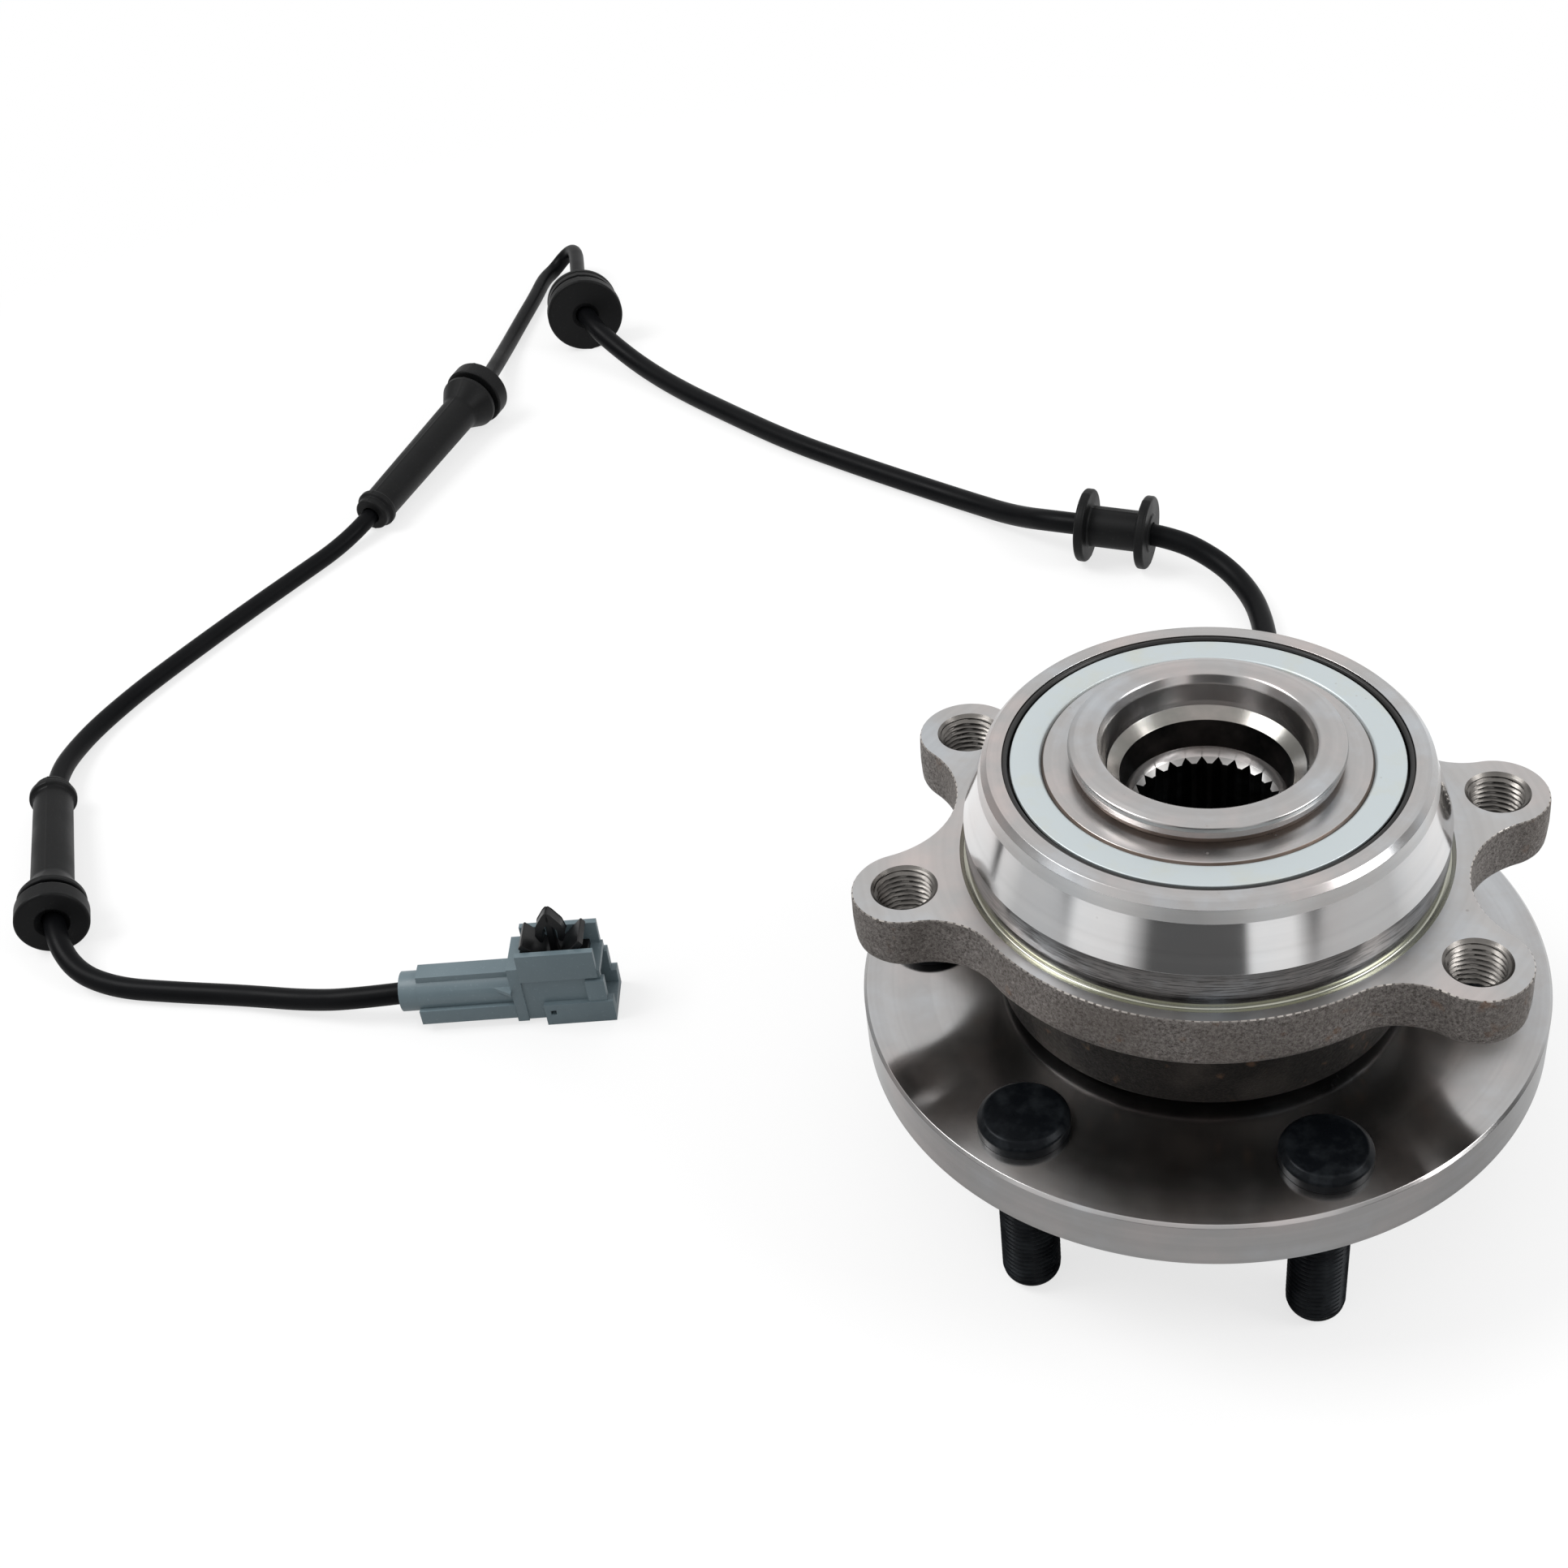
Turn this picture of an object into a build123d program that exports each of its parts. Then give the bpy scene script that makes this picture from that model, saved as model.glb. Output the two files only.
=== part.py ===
from build123d import *

import math
import os

os.makedirs("parts", exist_ok=True)

# Wheel hub bearing with a wheel speed sensor, its lead and its connector.
# It stands on its six stud tips. The bearing axis is Z and the floor is Z = 0.
# X runs along the long side of the four mounting holes, Y points at the sensor.
# All sizes are in millimetres.

# Wheel flange, whose edge lies this far outside the stud circle
FLANGE_MARGIN = 12.85
FLANGE_THICKNESS = 11.0
FLANGE_EDGE_BREAK = 0.6
FLANGE_ROOT_ROUND = 2.2

# Wheel studs, pressed into the flange
STUD_COUNT = 6
STUD_PITCH_RADIUS = 57.15
STUD_PHASE = 3.27
STUD_REACH = 33.0
STUD_RADIUS = 6.0
STUD_TIP_ROUND = 4.0
STUD_KNURL_RADIUS = 6.4
STUD_HEAD_RADIUS = 9.0
STUD_HEAD_HEIGHT = 2.9
STUD_HEAD_BREAK = 1.3

# Spigots under the flange that centre the brake disc and the wheel
BRAKE_PILOT_RADIUS = 34.0
BRAKE_PILOT_DEPTH = 5.0
WHEEL_PILOT_RADIUS = 33.05
WHEEL_PILOT_DEPTH = 7.0
WHEEL_PILOT_BREAK = 1.0
NUT_RECESS_RADIUS = 25.0
NUT_SEAT_HEIGHT = 8.0

# Splined bore, heights above the wheel face
SPLINE_TEETH = 28
SPLINE_MAJOR_RADIUS = 14.75
SPLINE_MINOR_RADIUS = 13.7
SPLINE_GAP_SHARE = 0.36
SPLINE_FLANK_LEAN = 41.0
SPLINE_END_DROP = 0.9
SPLINE_OVERLAP = 0.1
SPLINE_START = 10.0
SPLINE_LENGTH = 43.0
BORE_CHAMFER_RADIUS = 15.9
BORE_CHAMFER_HEIGHT = 1.7
BORE_BAND_RADIUS = 16.6
BORE_BAND_HEIGHT = 6.0
BORE_LAND_RADIUS = 19.0
BORE_LAND_HEIGHT = 1.9
RIM_BORE_RADIUS = 20.2
FLARE_BULGE = 0.25

# Rolled rim that clamps the inner ring, heights above the ring's end face
RIM_HEIGHT = 4.35
RIM_FLAT_RADIUS = 25.4
RIM_OUTER_RADIUS = 26.4
RIM_SHOULDER_HEIGHT = 3.1
RIM_WAIST_RADIUS = 26.0
RIM_WAIST_HEIGHT = 1.3
RIM_FOOT_RADIUS = 25.6

# Ball rows, back to back
BALLS_PER_ROW = 15
BALL_RADIUS = 5.953
PITCH_RADIUS = 32.88
RACE_CLEARANCE = 0.2
OUTBOARD_ROW_INSET = 11.0
ROW_SPACING = 28.5
INBOARD_ROW_INSET = 12.25
INNER_LAND_STEP = 4.38
INNER_SHOULDER_STEP = 1.38
OUTER_LAND_STEP = 3.92
OUTER_RACE_MID_ANGLE = 25.0

# Inner ring
INNER_SEAT_RADIUS = 23.5
INNER_RING_WIDTH = 22.3
INNER_FACE_SINK = 0.45
INNER_RING_BREAK = 0.4

# Cages: a solid rim on the middle side of each row, prongs past the ball centres
CAGE_INNER_RADIUS = 31.3
CAGE_OUTER_RADIUS = 34.9
CAGE_RIM_REACH = 7.3
CAGE_PRONG_REACH = 2.5
CAGE_POCKET_CLEARANCE = 0.2

# Outer ring
RING_GAP = 2.5
BARREL_WALL = 3.0
BARREL_HEIGHT = 19.0
BARREL_EDGE_BREAK = 0.8
BARREL_ROOT_ROUND = 3.0
EAR_THICKNESS = 11.5
SPIGOT_WALL = 4.8
LEAD_IN_RISE = 3.2
PILOT_HEIGHT = 8.0
PILOT_RELIEF = 0.6
RELIEF_HEIGHT = 2.6
PILOT_BREAK = 0.4
RING_CONE_DROP = 0.7
RING_CONE_HEIGHT = 2.6
RING_EDGE_DROP = 1.83
RING_EDGE_HEIGHT = 1.25
GROOVE_MOUTH_REACH = 1.2
GROOVE_FLOOR_REACH = 0.5
GROOVE_DEPTH = 0.7

# Mounting ears
EAR_HOLE_X = 54.4
EAR_HOLE_Y = 25.0
EAR_RADIUS = 10.3
EAR_HOLE_RADIUS = 6.0
EAR_HOLE_BREAK = 0.5
EAR_BREAK_ANGLE = 45.0
EAR_WAIST_X = 51.2
EAR_BODY_RADIUS = 50.6
EAR_NECK_RADIUS = 14.0

# Seals
SEAL_CASE_WALL = 1.0
SEAL_SHEET = 0.8
SEAL_LIP_GAP = 0.25
LIP_THICKNESS = 0.5
LIP_FLARE = 1.2
SIDE_LIP_INSET = 1.2
SIDE_LIP_ROOT = 1.0
SIDE_LIP_LEAN = 1.4
SIDE_LIP_TIP = 0.6
OUTBOARD_SEAL_SINK = 0.3
OUTBOARD_SEAL_WIDTH = 4.0
OUTBOARD_CASE_BORE_RADIUS = 35.6
INBOARD_SEAL_SINK = 0.25
INBOARD_SEAL_WIDTH = 5.4
INBOARD_CASE_BORE_RADIUS = 33.4
SLINGER_RADIUS = 37.56
SLINGER_LENGTH = 4.6
SLINGER_EDGE_GAP = 0.4

# Toothed ring that the sensor reads
TONE_TEETH = 46
TONE_WIDTH = 7.0
TONE_RADIUS = 33.8
TONE_TOOTH_DEPTH = 2.0
TONE_AIR_GAP = 1.0

# Sensor, on a pad that stands proud of the ring's round body at the back
SENSOR_PAD_PROUD = 2.4
SENSOR_PAD_LEFT = 22.0
SENSOR_PAD_RIGHT = 10.0
SENSOR_BORE_RADIUS = 5.0
SENSOR_PROBE_CLEARANCE = 0.1
SENSOR_PLATE_THICKNESS = 5.5
SENSOR_PLATE_RADIUS = 8.3
SENSOR_EYE_RADIUS = 6.6
SENSOR_SCREW_OFFSET = 14.0
SENSOR_HEAD_WIDTH = 13.0
SENSOR_HEAD_HEIGHT = 13.5
SENSOR_HEAD_DEPTH = 7.5
SENSOR_HEAD_ROUND = 2.5
SENSOR_NECK_RADIUS = 5.6
SENSOR_NECK_LENGTH = 7.5
SENSOR_EXIT_DROP = 30.0
POLE_RADIUS = 1.5
POLE_LENGTH = 7.0
COIL_RADIUS = 3.6
COIL_LENGTH = 5.5
MAGNET_RADIUS = 2.5
MAGNET_LENGTH = 6.0
O_RING_SECTION_RADIUS = 0.7
O_RING_DEPTH = 5.0
LIMITER_WALL = 1.4
SCREW_RADIUS = 2.5
SCREW_CLEARANCE = 0.2
SCREW_GRIP = 8.0
SCREW_HEAD_RADIUS = 4.6
SCREW_HEAD_HEIGHT = 4.0
SCREW_WASHER_RADIUS = 5.6
SCREW_WASHER_HEIGHT = 1.0
SCREW_SOCKET_DEPTH = 2.0
SCREW_SOCKET_RADIUS = 2.6

# Lead: a thick sheathed stretch, then a thinner bare one.
# Each bend takes this share of the shorter run beside it.
BEND_SHARE = 0.45
SHEATH_RADIUS = 3.2
LEAD_RADIUS = 2.6
BOOT_LENGTH = 15.0
BOOT_ROOT_RADIUS = 5.2
BOOT_TIP_RADIUS = 4.1

# Spool grommet
SPOOL_DISC_RADIUS = 10.7
SPOOL_DISC_THICKNESS = 3.2
SPOOL_DISC_SPACING = 18.5
SPOOL_BARREL_RADIUS = 6.0
SPOOL_EDGE_ROUND = 0.6

# Round grommet
ROUND_HEAD_RADIUS = 12.9
ROUND_HEAD_THICKNESS = 4.0
ROUND_GROOVE_RADIUS = 11.5
ROUND_GROOVE_WIDTH = 2.9
ROUND_TAIL_RADIUS = 12.1
ROUND_TAIL_THICKNESS = 5.0
ROUND_EDGE_ROUND = 0.6

# Sleeve grommets, from the flat head to the far end
SLEEVE_GROOVE_RADIUS = 6.2
SLEEVE_GROOVE_WIDTH = 2.0
SLEEVE_FLANGE_THICKNESS = 1.6
SLEEVE_CONE_LENGTH = 6.5
SLEEVE_BEAD_WIDTH = 3.0
SLEEVE_TAIL_LENGTH = 2.5
SLEEVE_MOUTH_RADIUS = 4.2
SLEEVE_MOUTH_DEPTH = 1.5
UPPER_SLEEVE_HEAD_RADIUS = 9.7
UPPER_SLEEVE_HEAD_THICKNESS = 6.0
UPPER_SLEEVE_FLANGE_RADIUS = 9.0
UPPER_SLEEVE_ROOT_RADIUS = 5.8
UPPER_SLEEVE_TIP_RADIUS = 5.2
UPPER_SLEEVE_BEAD_RADIUS = 6.1
UPPER_SLEEVE_LENGTH = 76.0
LOWER_SLEEVE_HEAD_RADIUS = 8.8
LOWER_SLEEVE_HEAD_THICKNESS = 5.5
LOWER_SLEEVE_FLANGE_RADIUS = 8.2
LOWER_SLEEVE_ROOT_RADIUS = 5.2
LOWER_SLEEVE_TIP_RADIUS = 4.9
LOWER_SLEEVE_BEAD_RADIUS = 5.9
LOWER_SLEEVE_LENGTH = 60.0

# Connector, lengths along its axis from the collar's end
CONNECTOR_START = (-186.2, -8.3, 8.0)
CONNECTOR_HEADING = 17.2
COLLAR_RADIUS = 4.7
COLLAR_LENGTH = 4.3
STEM_RADIUS = 4.9
STEM_END = 26.4
STEM_RIB_WIDTH = 4.6
STEM_RIB_REACH = 5.9
STEM_KEEL_WIDTH = 11.6
STEM_KEEL_TOP = -1.6
STEM_KEEL_BOTTOM = -5.6
BACK_PLATE_END = 29.0
BACK_PLATE_WIDTH = 11.4
BACK_PLATE_TOP = 9.4
BACK_PLATE_BOTTOM = -6.9
BODY_END = 47.4
BODY_WIDTH = 10.4
BODY_TOP = 7.0
BODY_BOTTOM = -6.8
RAIL_END = 46.8
RAIL_WIDTH = 1.5
RAIL_OUTER = 5.8
RAIL_BOTTOM = 5.2
RAIL_TOP = 13.2
KEEL_START = 33.2
KEEL_END = 49.3
KEEL_WIDTH = 13.0
KEEL_TOP = -1.8
KEEL_BOTTOM = -8.0
KEEL_SLOT_LENGTH = 1.3
TAB_START = 43.7
TAB_END = 48.0
TAB_WIDTH = 12.2
TAB_BOTTOM = -1.8
TAB_TOP = 4.4
GUSSET_LENGTH = 4.5
GUSSET_TIP_REACH = 4.0
GUSSET_REACH = 6.6
GUSSET_HEIGHT = 1.8
GUSSET_THICKNESS = 1.0
MOUTH_START = 33.0
MOUTH_WIDTH = 7.8
MOUTH_TOP = 5.4
MOUTH_BOTTOM = -5.4
WIRE_BORE_DEPTH = 7.0
WIRE_SEAL_RADIUS = 3.9
WIRE_SEAL_START = 1.0
WIRE_SEAL_LENGTH = 3.5
TERMINAL_SPACING = 4.0
TERMINAL_WIDTH = 0.8
TERMINAL_HEIGHT = 1.8
TERMINAL_START = 29.5
TERMINAL_END = 42.0

# Arrow-head clip that stands in the connector's rails
CLIP_START = 29.9
CLIP_END = 44.7
CLIP_GAP = 0.15
CLIP_BASE_THICKNESS = 1.6
CLIP_WING_RISE = 5.0
CLIP_WING_THICKNESS = 1.2
CLIP_STEM_WIDTH = 1.8
CLIP_ARROW_WIDTH = 4.8
CLIP_BARB_REACH = 3.1
CLIP_BARB_HEIGHT = 9.0
CLIP_ARM_END_HEIGHT = 6.6
CLIP_ARM_END_REACH = 2.2
CLIP_ARM_ROOT_HEIGHT = 11.4
CLIP_TIP_HEIGHT = 15.0

# Route of the sheathed stretch, from the sensor to the round grommet
SHEATH_ROUTE = [
    (0.0, 92.1, 53.0),
    (-0.8, 113.0, 34.0),
    (-3.0, 130.5, 14.6),
    (-6.0, 146.5, 4.6),
    (-9.2, 161.5, 3.2),
    (-12.8, 178.8, 3.2),
    (-18.8, 194.5, 3.4),
    (-29.5, 205.8, 6.0),
    (-45.4, 210.2, 10.7),
    (-79.5, 212.2, 10.7),
    (-94.5, 221.0, 5.6),
    (-110.5, 230.0, 3.2),
    (-131.0, 237.8, 3.2),
    (-154.1, 246.9, 3.2),
    (-178.5, 257.3, 3.2),
    (-204.0, 271.4, 3.2),
    (-226.0, 284.2, 3.2),
    (-243.5, 295.2, 4.4),
    (-256.5, 302.6, 8.0),
    (-267.6, 309.0, 12.4),
    (-275.5, 320.5, 12.9),
]

# Route of the bare lead, from the round grommet to the connector
LEAD_ROUTE = [
    (-275.5, 320.5, 12.9),
    (-281.9, 333.6, 12.9),
    (-288.2, 348.0, 12.6),
    (-296.6, 366.0, 11.0),
    (-302.2, 369.0, 7.4),
    (-306.4, 365.0, 2.6),
    (-307.2, 357.5, 2.6),
    (-304.8, 344.5, 2.6),
    (-302.4, 326.5, 2.6),
    (-298.6, 303.5, 3.2),
    (-293.6, 283.5, 6.4),
    (-288.9, 266.0, 9.8),
    (-290.8, 227.0, 7.9),
    (-293.0, 187.5, 5.8),
    (-297.4, 174.0, 2.9),
    (-302.6, 158.0, 2.6),
    (-308.6, 138.0, 2.6),
    (-315.2, 114.0, 2.6),
    (-320.6, 92.0, 2.6),
    (-323.2, 71.0, 2.7),
    (-318.4, 50.6, 5.4),
    (-299.8, 22.2, 7.4),
    (-281.6, -5.8, 9.0),
    (-272.0, -14.4, 4.8),
    (-260.0, -16.2, 2.7),
    (-245.0, -14.6, 2.6),
    (-227.0, -12.2, 2.6),
    (-210.0, -12.0, 4.0),
    (-197.0, -11.6, 6.6),
]

# Places of the grommets on the lead
SPOOL_CENTRE = (-61.5, 211.1, 10.7)
SPOOL_BACK = (-79.5, 212.2, 10.7)
ROUND_FACE = (-270.6, 312.9, 12.9)
ROUND_BACK = (-281.9, 333.6, 12.9)
UPPER_SLEEVE_HEAD = (-288.95, 264.0, 9.75)
UPPER_SLEEVE_TAIL = (-293.0, 188.2, 6.1)
LOWER_SLEEVE_HEAD = (-282.6, -4.2, 8.9)
LOWER_SLEEVE_TAIL = (-315.4, 46.0, 5.9)

# Heights worked out from the sizes above
WHEEL_FACE_Z = STUD_REACH
FLANGE_TOP_Z = WHEEL_FACE_Z + FLANGE_THICKNESS
RING_BOTTOM_Z = FLANGE_TOP_Z + RING_GAP
OUTBOARD_ROW_Z = RING_BOTTOM_Z + OUTBOARD_ROW_INSET
INBOARD_ROW_Z = OUTBOARD_ROW_Z + ROW_SPACING
RING_FACE_Z = INBOARD_ROW_Z + INBOARD_ROW_INSET
EAR_BOTTOM_Z = RING_BOTTOM_Z + BARREL_HEIGHT
EAR_TOP_Z = EAR_BOTTOM_Z + EAR_THICKNESS
GROOVE_FLOOR_Z = EAR_TOP_Z - GROOVE_DEPTH
INNER_FACE_Z = RING_FACE_Z - INNER_FACE_SINK
INNER_RING_Z = INNER_FACE_Z - INNER_RING_WIDTH
RIM_TOP_Z = INNER_FACE_Z + RIM_HEIGHT
SPLINE_BOTTOM_Z = WHEEL_FACE_Z + SPLINE_START
SPLINE_TOP_Z = SPLINE_BOTTOM_Z + SPLINE_LENGTH
SENSOR_Z = (EAR_BOTTOM_Z + EAR_TOP_Z) / 2
SENSOR_PAD_REACH = EAR_BODY_RADIUS + SENSOR_PAD_PROUD
TONE_Z = SENSOR_Z - TONE_WIDTH / 2

# Race grooves follow the ball with a running gap, and the seal bores, the barrel, the
# spigot and the pilot band below it follow the grooves
RACE_RADIUS = BALL_RADIUS + RACE_CLEARANCE
INNER_LAND_RADIUS = PITCH_RADIUS - INNER_LAND_STEP
INNER_SHOULDER_RADIUS = PITCH_RADIUS - INNER_SHOULDER_STEP
OUTER_LAND_RADIUS = PITCH_RADIUS + OUTER_LAND_STEP
SEAL_BORE_RADIUS = PITCH_RADIUS + RACE_RADIUS
BARREL_RADIUS = SEAL_BORE_RADIUS + BARREL_WALL
SPIGOT_RADIUS = SEAL_BORE_RADIUS + SPIGOT_WALL
PILOT_RADIUS = SPIGOT_RADIUS + LEAD_IN_RISE


def race_rise(radius):
    """Height above the ball centres at which the race groove reaches this radius."""
    return math.sqrt(RACE_RADIUS**2 - (radius - PITCH_RADIUS) ** 2)


def race_bottom(side):
    """Offset of the groove's middle from the ball centres, inwards or outwards."""
    return PITCH_RADIUS + side * RACE_RADIUS


INNER_LAND_RISE = race_rise(INNER_LAND_RADIUS)
INNER_SHOULDER_RISE = race_rise(INNER_SHOULDER_RADIUS)
OUTER_LAND_RISE = race_rise(OUTER_LAND_RADIUS)
outer_mid_angle = math.radians(OUTER_RACE_MID_ANGLE)
OUTER_MID_RADIUS = PITCH_RADIUS + RACE_RADIUS * math.cos(outer_mid_angle)
OUTER_MID_RISE = RACE_RADIUS * math.sin(outer_mid_angle)

# Hub spindle: one forging with the wheel flange, the outboard race and the splined bore.
# The teeth end on a blunt cone inside the bore's chamfer.
FLANGE_RADIUS = STUD_PITCH_RADIUS + FLANGE_MARGIN
pilot_end_z = WHEEL_FACE_Z - BRAKE_PILOT_DEPTH - WHEEL_PILOT_DEPTH
nut_seat_z = WHEEL_FACE_Z + NUT_SEAT_HEIGHT
band_bottom_z = SPLINE_TOP_Z + BORE_CHAMFER_HEIGHT
band_top_z = band_bottom_z + BORE_BAND_HEIGHT
land_top_z = band_top_z + BORE_LAND_HEIGHT
flare_middle = ((BORE_LAND_RADIUS + RIM_BORE_RADIUS) / 2 - FLARE_BULGE, (land_top_z + RIM_TOP_Z) / 2)
tooth_end_slope = SPLINE_END_DROP / (SPLINE_MAJOR_RADIUS - SPLINE_MINOR_RADIUS)
tooth_end_radius = SPLINE_MINOR_RADIUS - SPLINE_OVERLAP
tooth_end_z = SPLINE_TOP_Z - (SPLINE_MAJOR_RADIUS - tooth_end_radius) * tooth_end_slope
spline_mean_radius = (SPLINE_MAJOR_RADIUS + SPLINE_MINOR_RADIUS) / 2
spline_gap = SPLINE_GAP_SHARE * math.tau * spline_mean_radius / SPLINE_TEETH
spline_cut = SPLINE_MAJOR_RADIUS - SPLINE_MINOR_RADIUS + 2 * SPLINE_OVERLAP
spline_gap_mouth = spline_gap + spline_cut * math.tan(math.radians(SPLINE_FLANK_LEAN))

with BuildPart() as hub_spindle:
    with BuildSketch(Plane.XZ):
        with BuildLine():
            bore = Polyline(
                (NUT_RECESS_RADIUS, pilot_end_z),
                (NUT_RECESS_RADIUS, nut_seat_z),
                (SPLINE_MAJOR_RADIUS + SPLINE_START - NUT_SEAT_HEIGHT, nut_seat_z),
                (SPLINE_MAJOR_RADIUS, SPLINE_BOTTOM_Z),
                (SPLINE_MAJOR_RADIUS, SPLINE_TOP_Z),
                (BORE_CHAMFER_RADIUS, band_bottom_z),
                (BORE_BAND_RADIUS, band_top_z),
                (BORE_LAND_RADIUS, land_top_z),
            )
            flare = ThreePointArc(bore @ 1, flare_middle, (RIM_BORE_RADIUS, RIM_TOP_Z))
            rim_flat = Line(flare @ 1, (RIM_FLAT_RADIUS, RIM_TOP_Z))
            rim_round = RadiusArc(
                rim_flat @ 1,
                (RIM_OUTER_RADIUS, INNER_FACE_Z + RIM_SHOULDER_HEIGHT),
                RIM_HEIGHT - RIM_SHOULDER_HEIGHT,
            )
            rim_side = Polyline(
                rim_round @ 1,
                (RIM_WAIST_RADIUS, INNER_FACE_Z + RIM_WAIST_HEIGHT),
                (RIM_FOOT_RADIUS, INNER_FACE_Z),
                (INNER_SEAT_RADIUS, INNER_FACE_Z),
                (INNER_SEAT_RADIUS, INNER_RING_Z),
                (INNER_LAND_RADIUS, INNER_RING_Z),
                (INNER_LAND_RADIUS, OUTBOARD_ROW_Z + INNER_LAND_RISE),
            )
            race = ThreePointArc(
                rim_side @ 1,
                (race_bottom(-1), OUTBOARD_ROW_Z),
                (INNER_SHOULDER_RADIUS, OUTBOARD_ROW_Z - INNER_SHOULDER_RISE),
            )
            shoulder = Line(race @ 1, (INNER_SHOULDER_RADIUS, FLANGE_TOP_Z + FLANGE_ROOT_ROUND))
            root = RadiusArc(
                shoulder @ 1,
                (INNER_SHOULDER_RADIUS + FLANGE_ROOT_ROUND, FLANGE_TOP_Z),
                -FLANGE_ROOT_ROUND,
            )
            Polyline(
                root @ 1,
                (FLANGE_RADIUS - FLANGE_EDGE_BREAK, FLANGE_TOP_Z),
                (FLANGE_RADIUS, FLANGE_TOP_Z - FLANGE_EDGE_BREAK),
                (FLANGE_RADIUS, WHEEL_FACE_Z + FLANGE_EDGE_BREAK),
                (FLANGE_RADIUS - FLANGE_EDGE_BREAK, WHEEL_FACE_Z),
                (BRAKE_PILOT_RADIUS, WHEEL_FACE_Z),
                (BRAKE_PILOT_RADIUS, WHEEL_FACE_Z - BRAKE_PILOT_DEPTH),
                (WHEEL_PILOT_RADIUS, WHEEL_FACE_Z - BRAKE_PILOT_DEPTH),
                (WHEEL_PILOT_RADIUS, pilot_end_z + WHEEL_PILOT_BREAK),
                (WHEEL_PILOT_RADIUS - WHEEL_PILOT_BREAK, pilot_end_z),
                (NUT_RECESS_RADIUS, pilot_end_z),
            )
        make_face()
    revolve(axis=Axis.Z)
    with BuildSketch(Plane.XY.offset(SPLINE_BOTTOM_Z)):
        Circle(SPLINE_MAJOR_RADIUS + 2 * SPLINE_OVERLAP)
        Circle(SPLINE_MINOR_RADIUS, mode=Mode.SUBTRACT)
        with PolarLocations(spline_mean_radius, SPLINE_TEETH):
            Trapezoid(
                spline_gap_mouth,
                spline_cut,
                90 + SPLINE_FLANK_LEAN,
                rotation=90,
                mode=Mode.SUBTRACT,
            )
    extrude(amount=SPLINE_LENGTH)
    with BuildSketch(Plane.XZ):
        with BuildLine():
            Polyline(
                (tooth_end_radius, tooth_end_z),
                (SPLINE_MAJOR_RADIUS, SPLINE_TOP_Z),
                (tooth_end_radius, SPLINE_TOP_Z),
                close=True,
            )
        make_face()
    revolve(axis=Axis.Z, mode=Mode.SUBTRACT)
    with BuildSketch(Plane.XY.offset(WHEEL_FACE_Z)):
        with PolarLocations(STUD_PITCH_RADIUS, STUD_COUNT, start_angle=STUD_PHASE):
            Circle(STUD_KNURL_RADIUS)
    extrude(amount=FLANGE_THICKNESS, mode=Mode.SUBTRACT)
hub_spindle.part.label = "hub_spindle"
export_step(hub_spindle.part, "parts/hub_spindle.step")

# Six wheel studs: threaded shank, knurl in the flange, round head on its back
with BuildPart() as wheel_studs:
    with BuildSketch():
        with PolarLocations(STUD_PITCH_RADIUS, STUD_COUNT, start_angle=STUD_PHASE):
            Circle(STUD_RADIUS)
    extrude(amount=STUD_REACH)
    fillet(wheel_studs.edges().filter_by(GeomType.CIRCLE).group_by(Axis.Z)[0], STUD_TIP_ROUND)
    with BuildSketch(Plane.XY.offset(WHEEL_FACE_Z)):
        with PolarLocations(STUD_PITCH_RADIUS, STUD_COUNT, start_angle=STUD_PHASE):
            Circle(STUD_KNURL_RADIUS)
    extrude(amount=FLANGE_THICKNESS)
    with BuildSketch(Plane.XY.offset(FLANGE_TOP_Z)):
        with PolarLocations(STUD_PITCH_RADIUS, STUD_COUNT, start_angle=STUD_PHASE):
            Circle(STUD_HEAD_RADIUS)
    extrude(amount=STUD_HEAD_HEIGHT)
    chamfer(wheel_studs.edges().filter_by(GeomType.CIRCLE).group_by(Axis.Z)[-1], STUD_HEAD_BREAK)
wheel_studs.part.label = "wheel_studs"
export_step(wheel_studs.part, "parts/wheel_studs.step")

# Inner ring with the inboard race
with BuildPart() as inner_ring:
    with BuildSketch(Plane.XZ):
        with BuildLine():
            inner_side = Polyline(
                (INNER_LAND_RADIUS, INBOARD_ROW_Z - INNER_LAND_RISE),
                (INNER_LAND_RADIUS, INNER_RING_Z),
                (INNER_SEAT_RADIUS, INNER_RING_Z),
                (INNER_SEAT_RADIUS, INNER_FACE_Z),
                (INNER_SHOULDER_RADIUS - INNER_RING_BREAK, INNER_FACE_Z),
                (INNER_SHOULDER_RADIUS, INNER_FACE_Z - INNER_RING_BREAK),
                (INNER_SHOULDER_RADIUS, INBOARD_ROW_Z + INNER_SHOULDER_RISE),
            )
            ThreePointArc(inner_side @ 1, (race_bottom(-1), INBOARD_ROW_Z), inner_side @ 0)
        make_face()
    revolve(axis=Axis.Z)
inner_ring.part.label = "inner_ring"
export_step(inner_ring.part, "parts/inner_ring.step")

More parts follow.
